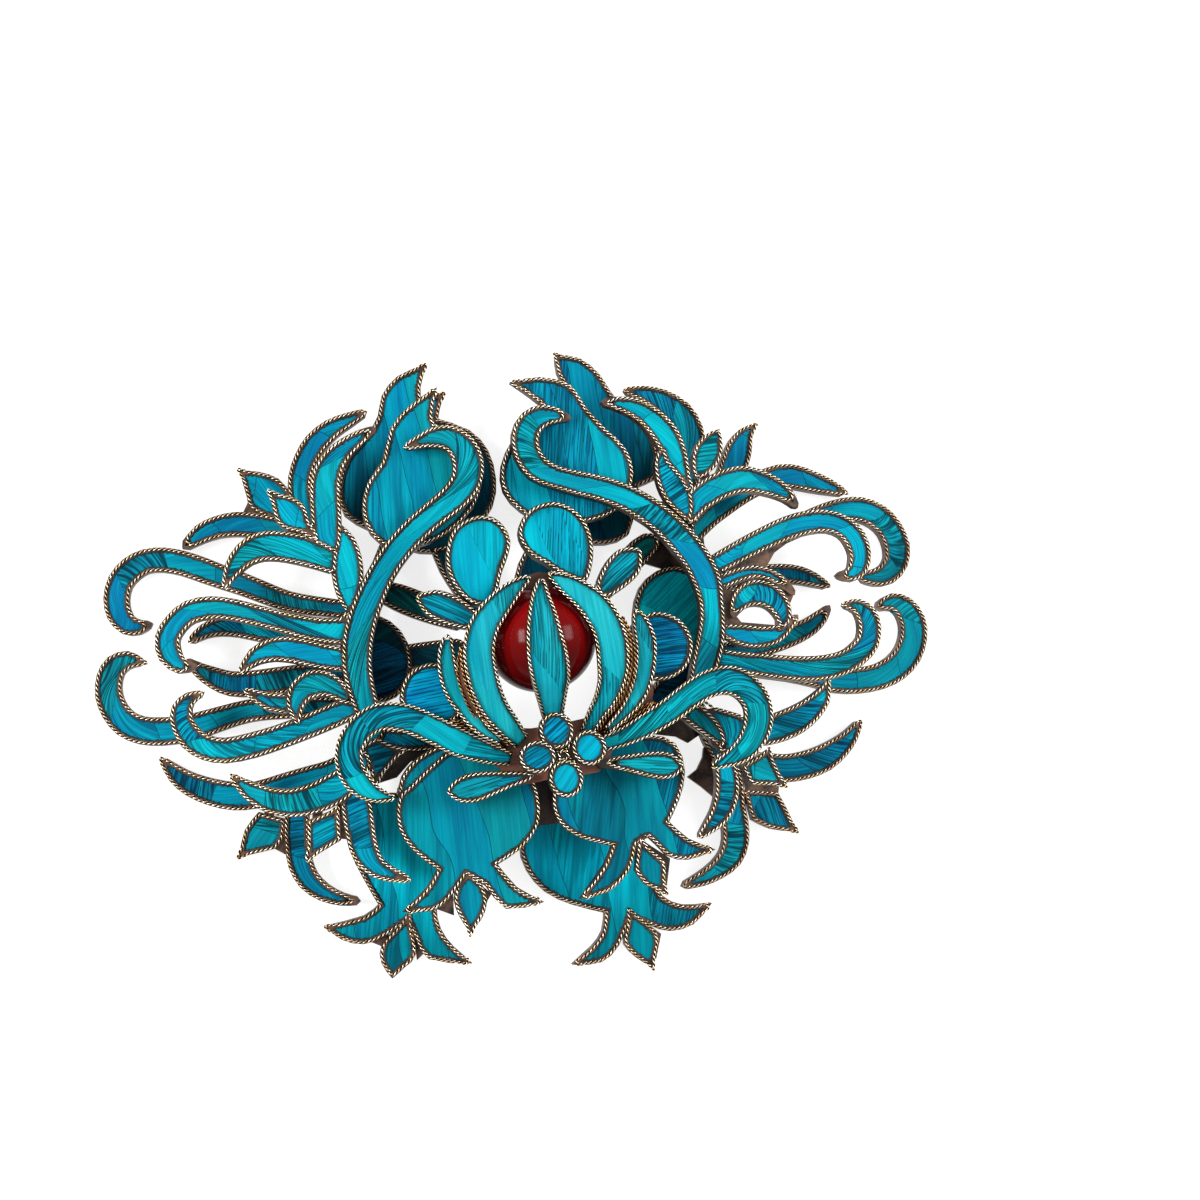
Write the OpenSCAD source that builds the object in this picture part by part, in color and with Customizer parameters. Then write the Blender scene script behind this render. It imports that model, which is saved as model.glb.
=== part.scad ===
// Filigree brooch: two tiers of metal cells filled with blue feather, a raised lotus flower
// with a dark red bead inside it, and a plain pin at the back. Millimetres, +Z is the front.

/* [Cells] */
// Thickness of the sheet metal under a cell
sheet_t = 0.4; // [0.3:0.05:0.6]
// Height of the rim that stands round a cell
rim_h = 0.45; // [0.3:0.05:0.6]
// Thickness of the twisted wire that borders a cell
wire_d = 0.4; // [0.3:0.05:0.45]
// Thickness of the feather inlay
feather_t = 0.25; // [0.15:0.05:0.3]

/* [Tiers] */
// Height of the lower tier's back at the middle of the brooch
lower_z = 3.7; // [3.6:0.05:3.8]
// Height of the upper tier's back at the middle of the brooch
upper_z = 8.0; // [7.9:0.05:8.2]

/* [Flower] */
// Diameter of the bead
bead_d = 10.2; // [9.3:0.1:10.3]
// Diameter of the bead's hole
bead_hole = 1.2; // [1:0.1:1.5]
// Diameter of the bead's wire
bead_wire_d = 0.8; // [0.6:0.1:0.9]
// Thickness of a petal's sheet
petal_t = 0.45; // [0.35:0.05:0.5]
// Height of a petal's rim over its floor
petal_rim = 0.3; // [0.2:0.05:0.4]

/* [Pin] */
// Length of the pin
pin_len = 23; // [18:1:23]
// Diameter of the pin
pin_d = 0.7; // [0.6:0.1:0.9]

/* [Hidden] */

// The tables below are drawn round the middle of the flower. This moves the middle of the whole
// outline to the origin and its lowest tip to the floor.
centre_shift = [-1.243, 0.13, -0.05];

gilt = "#b9a074";
brown = "#7d5f45";
copper = "#96603c";
turquoise = "#1596ad";
azure = "#1580b0";
teal = "#0f6f7c";

// Half the wire's thickness carries the sheet past the wire's middle line
grow = wire_d / 2;
cell_h = sheet_t + rim_h;
feather_gap = 0.05;

// Steps between two rows of a table
steps = 2;

// Smooth curves and outlines

function spline(a, b, c, d, t) =
    0.5 * (2 * b + (c - a) * t + (2 * a - 5 * b + 4 * c - d) * t * t
        + (3 * b - a - 3 * c + d) * t * t * t);

// Rows along a smooth curve through the given rows
function along(rows) = let (last = len(rows) - 1) [
    for (i = [0:last - 1]) for (k = [0:steps - 1])
        spline(rows[max(i - 1, 0)], rows[i], rows[i + 1], rows[min(i + 2, last)], k / steps),
    rows[last]];

function unit(v) = v / max(norm(v), 0.000001);
function flat(p) = [p[0], p[1]];
function left_of(v) = [-v[1], v[0]];

// Direction of a curve at one of its rows
function heading(line, i) =
    unit(flat(line[min(i + 1, len(line) - 1)]) - flat(line[max(i - 1, 0)]));

// Outline of a leaf whose rows are [x, y, half width]; g moves its edge out or in
function leaf_outline(rows, g) = let (
    line = [for (p = along(rows)) if (p[2] + g > 0.07) p],
    last = len(line) - 1,
    tip = 0.9 * (line[0][2] + g),
    root = 0.9 * (line[last][2] + g)) concat(
        [flat(line[0]) - heading(line, 0) * tip],
        [for (i = [0:last]) flat(line[i]) - left_of(heading(line, i)) * (line[i][2] + g)],
        [flat(line[last]) + heading(line, last) * root],
        [for (i = [last:-1:0]) flat(line[i]) + left_of(heading(line, i)) * (line[i][2] + g)]);

// Points round a closed loop whose rows are [x, y], with a third column of 1 at a corner
function around(rows) = let (n = len(rows)) [
    for (i = [0:n - 1]) let (
        a = rows[(i + n - 1) % n], b = rows[i], c = rows[(i + 1) % n], d = rows[(i + 2) % n],
        before = b[2] == 1 ? flat(b) : flat(a),
        after = c[2] == 1 ? flat(c) : flat(d))
            for (k = [0:steps - 1]) spline(before, flat(b), flat(c), after, k / steps)];

function area(p) = let (n = len(p))
    0.5 * [for (i = [0:n - 1]) p[i][0] * p[(i + 1) % n][1] - p[(i + 1) % n][0] * p[i][1]]
        * [for (i = [0:n - 1]) 1];

// Outline moved outwards by g, with long corners cut short
function moved(p, g) = let (n = len(p), side = area(p) > 0 ? -1 : 1) [
    for (i = [0:n - 1]) let (
        n1 = side * left_of(unit(p[i] - p[(i + n - 1) % n])),
        n2 = side * left_of(unit(p[(i + 1) % n] - p[i])),
        bend = max(1 + n1 * n2, 0.35)) p[i] + g * (n1 + n2) / bend];

// A cell is ["leaf", rows] or ["loop", rows]
function cell_outline(cell, g) = cell[0] == "leaf"
    ? leaf_outline(cell[1], g) : moved(around(cell[1]), g);

// A group of cells made in one flat sheet and bent down, as one piece, from the middle

// Places a group: facing is the direction it droops in, droop its slope, z its height at the middle
module in_plane(plane) {
    facing = plane[0];
    droop = atan(plane[1]);
    translate([0, 0, plane[2]]) rotate(a = droop, v = [-sin(facing), cos(facing), 0]) children();
}

module outline_2d(cell, g) { polygon(cell_outline(cell, g)); }

// What shows of cell i, where the cells after it in the list lie over it
module showing_2d(cells, i, g) {
    difference() {
        outline_2d(cells[i], g);
        for (k = [i + 1:1:len(cells) - 1]) outline_2d(cells[k], grow * 0.98);
    }
}

// Sheet under a group of cells, with its rims. bars are short strips soldered between cells
// that don't meet, each [x, y, x, y]. plates are bare corners of the sheet, each a list of points
module sheet(cells, plane, bars = [], plates = []) {
    bar_w = 0.45;
    in_plane(plane) difference() {
        union() {
            for (c = cells) linear_extrude(cell_h) outline_2d(c, grow);
            for (b = bars) linear_extrude(sheet_t)
                polygon(leaf_outline([[b[0], b[1], bar_w], [b[2], b[3], bar_w]], 0));
            for (p = plates) linear_extrude(sheet_t) polygon(p);
        }
        for (i = [0:len(cells) - 1])
            translate([0, 0, sheet_t]) linear_extrude(rim_h + 1) showing_2d(cells, i, -grow);
    }
}

module inlay(cells, plane) {
    in_plane(plane) for (i = [0:len(cells) - 1])
        translate([0, 0, sheet_t + 0.02]) linear_extrude(feather_t)
            showing_2d(cells, i, -grow - feather_gap);
}

// Planes of the groups, each [facing, slope, height at the middle]
lower_left_plane = [170, 0.094, lower_z];
lower_right_plane = [8, 0.088, lower_z];
lower_left_foot_plane = [212, 0.098, lower_z];
lower_right_foot_plane = [330, 0.1, lower_z];
lower_left_bud_plane = [100, 0.11, lower_z];
lower_right_bud_plane = [75, 0.11, lower_z];
lower_left_fruit_plane = [243, 0.117, lower_z];
lower_right_fruit_plane = [288, 0.116, lower_z];
upper_left_plane = [165, 0.08, upper_z];
upper_right_plane = [15, 0.08, upper_z];
upper_left_foot_plane = [212, 0.08, upper_z];
upper_right_foot_plane = [325, 0.08, upper_z];
upper_left_bud_plane = [110, 0.07, upper_z - 1.05];
upper_right_bud_plane = [70, 0.07, upper_z - 1.05];
upper_left_fruit_plane = [250, 0.09, upper_z];
upper_right_fruit_plane = [290, 0.09, upper_z];

// Lower tier, left. A leaf's rows run from its tip to its root: [x, y, half width]
lower_left_cells = [
    // Pointed leaf at the top left
    ["loop", [[-23.4, 20.4, 1], [-21.8, 20.1], [-20.2, 19.3], [-19.2, 17.8, 1], [-19.6, 16],
        [-20.9, 15.9, 1], [-22.7, 17], [-23, 18.1]]],
    // Crescent under it
    ["leaf", [[-29.2, 14.1, 0.3], [-27.8, 15, 0.7], [-26.2, 15.5, 0.85], [-24.4, 15.6, 0.95],
        [-22.6, 15.3, 0.95], [-20.8, 14.8, 0.9], [-18.8, 14.1, 0.8]]],
    // Long crescent beside the bud, down to the arm
    ["leaf", [[-11.6, 24.9, 0.2], [-13, 24.4, 0.5], [-14.7, 23.7, 0.75], [-16.3, 22.5, 0.9],
        [-17.4, 21, 0.9], [-18.1, 19.3, 0.9], [-18.2, 17.5, 0.9], [-17.8, 15.5, 0.9],
        [-16.7, 13.6, 0.9], [-15.6, 11.4, 0.8], [-14.8, 9, 0.7], [-14.4, 6.8, 0.7]]],
    // Crescents between the two scrolls
    ["leaf", [[-29.5, 5.2, 0.2], [-28.3, 5.9, 0.5], [-26.8, 6.2, 0.7], [-25, 6, 0.8],
        [-23, 5.4, 0.85], [-21, 4.9, 0.85], [-18.5, 4.5, 0.8], [-15.5, 4.2, 0.7]]],
    ["leaf", [[-30, 3.3, 0.15], [-29.1, 2.4, 0.5], [-27.8, 1.5, 0.8], [-26.3, 0.8, 0.95],
        [-24.5, 0.6, 1], [-22.5, 0.6, 1.05], [-20, 0.7, 1], [-17.5, 0.8, 0.8], [-15.3, 0.8, 0.6]]],
    // Upper scroll
    ["leaf", [[-33.2, 7.1, 0.15], [-34.1, 6.95, 0.5], [-35.2, 7.3, 0.8], [-35.9, 8.4, 0.95],
        [-36, 9.8, 1], [-35.5, 11.3, 1], [-34.4, 12.4, 1], [-33, 13, 0.95], [-31.3, 12.95, 0.95],
        [-29.5, 12.4, 0.95], [-27.8, 11.6, 0.95], [-26.2, 10.8, 0.9], [-24.3, 9.9, 0.85],
        [-22.4, 8.9, 0.8], [-20.4, 7.9, 0.75], [-18, 7.2, 0.7], [-15.2, 6.6, 0.6]]],
    // Lower scroll
    ["leaf", [[-34.3, 3.7, 0.2], [-35.4, 4, 0.65], [-36.6, 3.6, 0.9], [-37.3, 2.5, 1],
        [-37.5, 1, 1.05], [-37.1, -0.5, 1.05], [-36.2, -1.8, 1.1], [-34.8, -2.6, 1.1],
        [-33, -2.9, 1.1], [-31, -2.9, 1.05], [-29, -2.6, 1], [-27, -2.2, 0.9], [-25, -1.9, 0.85],
        [-22.8, -1.9, 0.8], [-20, -2.1, 0.8], [-17.5, -2.3, 0.7], [-15, -2.4, 0.6]]],
    // Dark leaves that show between the arm and the flower
    ["leaf", [[-4.6, 4.4, 0.8], [-6.5, 5.3, 1], [-8.5, 6.3, 1.1], [-10.2, 7.2, 1.05],
        [-11.6, 7.9, 0.8]]],
    ["leaf", [[-5, 1.6, 0.9], [-7, 1.5, 1.05], [-9, 1.4, 1.1], [-11, 1.4, 1]]],
    // Round leaf behind the arm
    ["loop", [[-9.7, 1.6], [-10.4, 3.9], [-12.3, 5.5], [-14.4, 5], [-15.4, 3.2], [-15.5, 0.8],
        [-14.9, -1.1], [-13.3, -2.2], [-11.4, -1.9], [-10.1, -0.4]]]];

lower_left_bars = [[-15.6, 6.9, -15.4, -2.2], [-12.7, 5, -11.9, 7.9]];
lower_left_plates = [[[-22.7, 18.4], [-21.6, 16], [-23.8, 16.5]]];

// Lower tier, right
lower_right_cells = [
    // Pointed leaf at the top right
    ["leaf", [[26, 20.6, 0.15], [25.2, 20, 0.55], [24.5, 18.9, 1], [23.8, 17.5, 1.15],
        [22.8, 15.9, 1], [21.6, 14.2, 0.8]]],
    // Crescent under it
    ["leaf", [[34.3, 13.6, 0.25], [33, 14.2, 0.6], [31.4, 14.8, 0.85], [29.7, 15.4, 1],
        [28, 15.6, 0.95], [26, 15.1, 0.9], [24, 14.2, 0.85], [22, 13.1, 0.85], [20.3, 12, 0.8],
        [18.8, 10.7, 0.7]]],
    // Long crescent beside the bud, down to the arm
    ["leaf", [[13.8, 25, 0.15], [15.3, 24.6, 0.6], [17, 23.8, 1], [18.6, 22.4, 1.3],
        [19.5, 20.6, 1.25], [19.6, 18.6, 1.05], [19, 16.6, 0.9], [18.2, 14.4, 0.9],
        [17.8, 12.2, 0.8], [18, 9.8, 0.7]]],
    // Crescents between the two scrolls
    ["leaf", [[31.4, 4.6, 0.2], [30.3, 5.2, 0.5], [28.8, 5.8, 0.7], [27, 6.1, 0.75],
        [25, 6.2, 0.7], [23, 6, 0.7], [21, 5.6, 0.6], [19.6, 5.1, 0.5]]],
    ["leaf", [[31.3, 2.4, 0.15], [30.5, 1.6, 0.5], [29.3, 0.8, 0.7], [27.8, 0.2, 0.8],
        [26.2, -0.3, 0.8], [24.5, -0.7, 0.75], [22.5, -0.9, 0.7], [20.5, -0.8, 0.6]]],
    // Upper scroll
    ["leaf", [[35.3, 5.1, 0.35], [36.4, 4.95, 0.65], [37.8, 5.2, 0.9], [38.9, 6.3, 1.05],
        [39.2, 7.9, 1.15], [38.7, 9.6, 1.1], [37.6, 10.9, 1.1], [36, 11.7, 1.05],
        [34.2, 11.8, 1], [32, 11.4, 0.95], [30, 10.8, 0.9], [27, 9.8, 0.85], [24, 8.8, 0.8],
        [21.5, 7.8, 0.75], [19.5, 6.8, 0.7]]],
    // Lower scroll
    ["leaf", [[36.6, 2.1, 0.3], [37.9, 2.4, 0.65], [39.1, 1.8, 0.95], [39.8, 0.4, 1.15],
        [39.7, -1.2, 1.2], [38.9, -2.8, 1.2], [37.5, -4, 1.15], [35.7, -4.7, 1.1],
        [33.5, -4.9, 1.05], [31.3, -4.7, 1], [29, -4, 0.9], [26.5, -3.3, 0.85],
        [23.5, -2.7, 0.8], [20.5, -2.2, 0.7], [18.4, -1.9, 0.6]]],
    // Dark leaves that show between the arm and the flower
    ["leaf", [[8.8, 5.6, 0.7], [10.4, 7, 0.9], [12, 8.4, 1], [13.4, 9.6, 1],
        [14.3, 10.2, 0.8]]],
    ["leaf", [[12.6, -5, 0.6], [14, -4.2, 1.1], [15.6, -3.3, 1.35], [17.4, -2.4, 1.1]]],
    // Round leaf behind the arm
    ["loop", [[12, 3.4], [12.9, 5.8], [14.7, 7.2], [16.8, 7.4], [18.8, 6], [19.6, 3.8],
        [19.3, 1.3], [17.9, -0.5], [15.8, -0.9], [13.7, -0.1], [12.4, 1.4]]]];

lower_right_bars = [[19.3, 10.6, 19.2, -1.8], [14, 10.2, 18, 10.6], [17.4, -3, 17.8, 0.2]];
lower_right_plates = [[[13.7, 8.2], [15.5, 10.2], [17.6, 7.6], [16.8, 7]]];

lower_left_foot_cells = [
    // Down-curved crescent, kite leaf and long crescent
    ["leaf", [[-16.8, -20.4, 0.2], [-18.1, -20.1, 0.4], [-19.7, -19.3, 0.65], [-21, -18, 0.85],
        [-21.6, -16.4, 0.95], [-21.7, -14.8, 0.95], [-21.6, -13, 0.95], [-21.2, -11, 0.9],
        [-20.2, -9.3, 0.8]]],
    ["loop", [[-24.9, -11.5, 1], [-22.8, -12.3, 1], [-23.1, -13.8], [-23.8, -14.6, 1],
        [-26.9, -15, 1], [-26.2, -12.9]]],
    // Dark leaf behind the curl of the long petal
    ["leaf", [[-13.9, -5.2, 0.3], [-12.6, -5.7, 0.65], [-11.2, -6.1, 0.8], [-9.6, -6.3, 0.8],
        [-7.8, -6.4, 0.7]]],
    ["leaf", [[-33.1, -5.7, 0.2], [-32.1, -7, 0.65], [-30.8, -8.1, 0.9], [-29, -9, 1.05],
        [-27, -9.6, 1.1], [-25, -9.7, 1.05], [-22.5, -9.3, 1.1], [-20, -8.8, 1.05],
        [-18, -8.3, 0.9], [-16, -7.4, 0.8], [-14.2, -6, 0.7], [-13, -4.4, 0.6]]]];

lower_left_foot_bars = [[-23.9, -10.4, -24.1, -12.4]];
lower_left_foot_plates = [[[-22.8, -13.6], [-22.4, -15.8], [-24, -14.7]],
    [[-13.4, -4.9], [-10.3, -5.2], [-8.2, -6.6], [-8.3, -7.6], [-10.6, -8.2], [-12, -9.5],
        [-14.4, -10], [-14.4, -6.6]]];

lower_right_foot_cells = [
    ["leaf", [[14.1, -22.5, 0.2], [15.7, -22.1, 0.5], [17.4, -21.4, 0.75], [18.8, -20.35, 1],
        [19.5, -18.9, 1.1], [19.6, -17.2, 1.1], [19.5, -15.4, 1.05], [19.6, -13.4, 1],
        [19.2, -11.2, 0.9], [18.2, -8.8, 0.8], [17.4, -6.8, 0.6],
        [17, -5.7, 0.5]]],
    ["loop", [[21, -14.4, 1], [24, -14.9, 1], [24.7, -16.5], [25.4, -18.5, 1], [23.2, -18],
        [21.5, -17, 1]]],
    ["leaf", [[33.1, -9.1, 0.2], [32.2, -10.15, 0.55], [31, -11.1, 0.85], [29.3, -12, 1.1],
        [27.3, -12.5, 1.15], [25.3, -12.6, 1.15], [23.5, -12.3, 1.15], [21.5, -11.7, 1],
        [19.6, -10.8, 0.8]]]];

lower_right_foot_bars = [[19.5, -14.6, 21.8, -15.4]];
lower_right_foot_plates = [[[12.4, -8], [15.3, -6.8], [17.8, -8.2], [15.9, -9.2], [14.8, -8.5]],
    [[15.5, -12.4], [16.5, -11.8], [17.2, -10.7], [17.4, -9.8], [18.6, -10.4], [19.1, -12.6],
        [18.9, -14.9], [17.9, -14.6], [16.8, -13.5]],
    [[20.8, -12.2], [24.7, -13.4], [24.3, -15], [21.2, -14.5]]];

// Horned buds of the lower tier, with their stems
lower_left_bud_cells = [
    ["leaf", [[-11.5, 10.1, 0.7], [-10.6, 11.6, 0.8], [-9.4, 13.4, 0.9]]],
    ["leaf", [[-2.9, 5.6, 0.9], [-3.5, 7.6, 1.35], [-4.4, 9.8, 1.5], [-5, 12, 1.5]]],
    ["loop", [[-5.3, 29.3, 1], [-7.8, 28.4], [-9.4, 26.7], [-10, 24.7], [-11.2, 23],
        [-13.3, 20.9], [-14.4, 18.2], [-14.1, 15.6], [-12, 14], [-9.8, 12.4], [-7.6, 11.4],
        [-5, 11.4], [-2.4, 13], [-0.5, 15.1], [0.1, 17.6], [-0.3, 20.4], [-1.8, 22.5],
        [-4.7, 23.9, 1], [-4.4, 25.1], [-3.9, 26.3, 1], [-5, 26.1], [-6.1, 25.6, 1],
        [-6, 27.3]]]];

lower_right_bud_cells = [
    ["leaf", [[15, 12.3, 0.6], [14, 13.2, 0.7], [12.2, 14.8, 0.8]]],
    ["leaf", [[1.7, 6.9, 0.85], [2.7, 8.4, 1.35], [4.4, 10.4, 1.6], [6.4, 12.6, 1.6]]],
    ["loop", [[7.7, 29.3, 1], [9.8, 28.8], [11.4, 27.2], [12.3, 25.3], [13.3, 23.8], [15.3, 21.6],
        [16.1, 19.2], [15.7, 16.6], [13.7, 15.9], [13.1, 13.8], [12.2, 11.3], [10, 10.6],
        [8.2, 11], [5.6, 12.6], [2.8, 14.4], [2, 17], [2.4, 20], [4, 23], [6.4, 25],
        [8.2, 26.5, 1], [7.7, 27.8]]]];

// Horned pomegranates of the lower tier, each with a kite leaf between its horns
lower_left_fruit_cells = [
    ["leaf", [[-1, -9.2, 0.8], [-4.4, -8.9, 1], [-8, -10, 1.3], [-11, -12, 1.6]]],
    ["loop", [[-12.3, -22.7, 1], [-14.7, -24.8], [-14.9, -26.4], [-14.2, -27.7, 1],
        [-13.1, -26.9], [-12, -25.8]]],
    ["loop", [[-14.6, -21.1, 1], [-16.2, -22.1], [-19.6, -22.6, 1], [-18.4, -23.7],
        [-16.6, -24.3], [-14.6, -23.8], [-12.2, -22.5, 1], [-11.6, -24.4], [-10.6, -26.4],
        [-7, -27.3, 1], [-8.4, -25.9], [-9.5, -24], [-9.7, -21.6], [-8.7, -18.8],
        [-8.4, -15], [-10, -12], [-13.4, -11], [-16, -12.8], [-16.7, -15.6], [-15.9, -18.2]]]];

lower_left_fruit_plates = [[[-14.1, -23.4], [-14.3, -25.3], [-15.9, -24.4]],
    [[-11.9, -24], [-10.8, -25.8], [-11.8, -26.6]]];

lower_right_fruit_cells = [
    ["leaf", [[2.2, -9.4, 1], [2.6, -12, 1.3], [3.6, -15.4, 1.6]]],
    ["loop", [[8.7, -24.5, 1], [10.8, -26.7], [10.7, -28.3], [10.2, -29.6, 1], [9, -28.7],
        [8, -27.4], [8.2, -26.2]]],
    ["loop", [[6.4, -24.1, 1], [6, -26], [4.8, -27.4], [3, -28.6, 1], [5.4, -28.6],
        [7.1, -27.3], [8.6, -24.6, 1], [10.4, -25.7], [12.3, -26.5], [14.5, -26.15],
        [16.2, -24.7, 1], [13.8, -24.6], [11.7, -23.4], [10.9, -21], [10.4, -17.6],
        [7.6, -15.2], [3.6, -14.6], [0.6, -15.2], [-1, -17], [-0.6, -19.4], [0.9, -21.5],
        [3.2, -22.9]]]];

lower_right_fruit_plates = [[[9.6, -25.2], [11.5, -26.9], [10.8, -29.2], [10.7, -27]]];

// Upper tier, left
upper_left_cells = [
    // Vertical leaf
    ["leaf", [[-11.2, 22.4, 0.15], [-12.3, 21.9, 0.45], [-13.7, 21.1, 0.7], [-15, 20, 0.95],
        [-15.9, 18.5, 1.15], [-16.2, 16.8, 1.2], [-16.3, 15, 1.2], [-16.4, 13, 1.15],
        [-16.4, 11.4, 0.9]]],
    // Crescent
    ["leaf", [[-26, 9.4, 0.1], [-25.2, 10.8, 0.6], [-24, 12, 0.95], [-22.5, 12.6, 1.15],
        [-20.8, 12.5, 1.2], [-19, 12, 1.2], [-17.4, 11.3, 1.1], [-16, 10.5, 0.9]]],
    // Pointed leaf over it
    ["loop", [[-21, 17.3, 1], [-19.4, 16.8], [-18.4, 16], [-18.1, 15], [-17.9, 13.5, 1],
        [-19.7, 14], [-20.7, 14.9]]],
    // Upper scroll
    ["leaf", [[-29.4, 2.3, 0.1], [-30.6, 2.5, 0.55], [-31.5, 3.6, 0.9], [-31.6, 5.1, 0.95],
        [-30.7, 6.4, 0.9], [-29.4, 7.3, 0.9], [-27.5, 7.5, 0.85], [-25.5, 7.1, 0.8],
        [-23.5, 6.4, 0.75], [-21.5, 5.65, 0.75], [-19.5, 4.9, 0.85], [-17.5, 4.35, 0.95],
        [-15.6, 4.1, 1.05]]],
    // Leaf under it
    ["leaf", [[-25.3, 1.5, 0.1], [-24, 2.6, 0.6], [-22.2, 3.1, 0.9], [-20.2, 2.8, 1],
        [-18.2, 2.1, 1], [-16, 1.5, 0.9]]],
    // Lower scroll
    ["leaf", [[-29.1, -0.2, 0.1], [-30.1, -0.5, 0.4], [-30.9, -1.4, 0.75], [-31, -2.7, 0.85],
        [-30.3, -4.15, 0.95], [-29.1, -5.1, 0.95], [-27.4, -5.55, 0.95],
        [-25, -5.35, 0.95], [-22.5, -4.85, 0.9], [-20, -4.2, 0.9], [-17.5, -3.45, 0.9],
        [-15.4, -2.8, 0.8]]],
    // Small leaf and small curl
    ["leaf", [[-25, -0.4, 0.1], [-24.1, -1, 0.4], [-23, -1.6, 0.65], [-21.6, -1.9, 0.75]]],
    ["leaf", [[-20.7, -3.5, 0.1], [-20.8, -2.3, 0.6], [-20.2, -1, 0.95], [-19, -0.4, 1.1],
        [-17.7, -0.6, 0.95], [-16.7, -1.4, 0.65], [-15.9, -2.4, 0.3]]],
    // Arm in the shape of an S, with its curled end over the bud
    ["leaf", [[-8.3, 20.5, 0.1], [-7.2, 20.8, 0.4], [-5.9, 21.1, 0.75], [-4.5, 21, 1],
        [-3.35, 20.1, 1.15], [-2.85, 18.6, 1.28], [-3.15, 16.9, 1.25], [-4.3, 15.5, 1.15],
        [-6.2, 14.2, 1.05], [-8.2, 12.8, 1.05], [-10, 11.2, 1.05], [-11.6, 9.3, 1.05],
        [-12.9, 7.2, 1.1], [-13.9, 5.2, 1.15], [-14.6, 3, 1.2], [-14.9, 0.6, 1.15],
        [-14.7, -1.6, 1.05], [-14.2, -4.3, 0.85]]],
    // Small leaf on the arm
    ["leaf", [[-15.2, 13.7, 0.1], [-14.8, 12.4, 0.7], [-14.8, 10.8, 1.15], [-14.9, 9.2, 1.25],
        [-15, 7.6, 0.95], [-15.1, 6.3, 0.35]]]];

upper_left_bars = [[-19.6, 15, -19.3, 12.8]];

// Upper tier, right
upper_right_cells = [
    // Vertical leaf
    ["leaf", [[10.6, 23.2, 0.15], [11.8, 23, 0.45], [13.4, 22.5, 0.75], [14.9, 21.4, 0.95],
        [16.1, 19.8, 1.1], [16.7, 18.2, 1.05], [17, 16.6, 0.9], [17.3, 15.2, 0.6]]],
    // Crescent
    ["leaf", [[28.1, 12, 0.15], [27.4, 13, 0.5], [26.2, 13.9, 0.8], [24.6, 14.6, 1],
        [23, 14.9, 1.1], [21.3, 14.6, 1.1], [19.8, 14, 1.1], [18.5, 13.2, 1], [17.6, 12.2, 0.8]]],
    // Pointed leaf over it
    ["leaf", [[21.3, 19.6, 0.15], [20.8, 18.9, 0.75], [20.2, 17.9, 1.15], [19.6, 16.9, 1.05],
        [19, 15.9, 0.5]]],
    // Upper scroll
    ["leaf", [[31.5, 5, 0.15], [32.6, 4.95, 0.5], [33.5, 5.6, 0.8], [33.9, 6.9, 0.9],
        [33.6, 8.3, 0.95], [32.7, 9.5, 0.9], [31.2, 10.2, 0.9], [29.3, 10.3, 0.95],
        [27, 9.9, 0.95], [24.6, 9.1, 0.9], [22.3, 8.2, 0.85], [20.4, 7.4, 0.8],
        [18.8, 6.7, 0.7]]],
    // Leaf over the ring and leaf under it
    ["leaf", [[26.7, 3.7, 0.1], [26, 4.6, 0.3], [24.8, 5.5, 0.4], [23.2, 6, 0.45],
        [21.5, 5.8, 0.5], [19.8, 5.3, 0.5]]],
    ["leaf", [[26.7, 1.4, 0.1], [25.6, 0.5, 0.4], [24.4, -0.1, 0.7], [22.8, -0.2, 0.85],
        [21.3, 0.1, 0.85], [19.8, 0.6, 0.5]]],
    // Ring leaf
    ["leaf", [[24.9, 0.4, 0.15], [25.4, 1.1, 0.45], [25.4, 2.1, 0.75], [24.9, 3.1, 0.95],
        [24, 3.8, 1.05], [22.8, 4, 1.05], [21.7, 3.6, 0.85], [21, 2.85, 0.5], [20.6, 2.1, 0.15]]],
    // Lower scroll
    ["leaf", [[31.8, 2.1, 0.15], [32.9, 1.9, 0.55], [33.7, 1, 0.85], [33.9, -0.2, 0.95],
        [33.5, -1.6, 0.95], [32.4, -2.6, 0.95], [31, -3.3, 0.95], [29, -3.65, 1], [27, -3.6, 1],
        [25, -3.3, 0.95], [23, -2.9, 0.9], [21, -2.5, 0.85], [19, -2, 0.8], [17.8, -1.6, 0.7]]],
    // Arm in the shape of an S, with its curled end over the bud
    ["leaf", [[7, 21.9, 0.1], [6, 22.2, 0.5], [4.7, 22.3, 0.85], [3.45, 21.75, 1.05],
        [2.7, 20.5, 1.1], [2.7, 18.9, 1.1], [3.55, 17.35, 1.05], [5.2, 16.4, 0.9], [7.2, 15.7, 0.95],
        [9.4, 15, 1], [11.6, 14, 1.05], [13.4, 12.8, 1.1], [15, 11.4, 1.15], [16.4, 9.7, 1.2],
        [17.6, 7.8, 1.2], [18.4, 5.7, 1.2], [18.6, 3.4, 1], [18.4, 1.4, 1.05],
        [17.9, -0.6, 1.15], [17.1, -2.6, 1.05], [16.4, -4.4, 0.9]]],
    // Small leaf on the arm
    ["leaf", [[15.7, 18.3, 0.15], [15.5, 17.2, 0.55], [15.8, 15.9, 0.95], [16.3, 14.7, 1.2],
        [16.8, 13.5, 1.1], [17.2, 12.4, 0.65], [17.4, 11.5, 0.15]]]];

upper_right_bars = [[19.6, 16.4, 19.7, 14.4], [14.3, 13, 18.3, 13], [15.4, 11.9, 17.2, 11.6]];
upper_right_plates = [[[20.6, 6.8], [25.5, 8.4], [27.2, 8.7], [25.5, 7.7], [24.6, 6.5], [21.6, 5.4]],
    [[19.2, 4.8], [21.1, 4.4], [20.7, 2.4], [21.4, 1.4], [24.9, 0.8], [24.9, 0.2], [19.4, 0.7]],
    [[25.4, 3.6], [26.2, 4.1], [26.8, 3.4], [26.2, 2.4]]];

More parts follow.
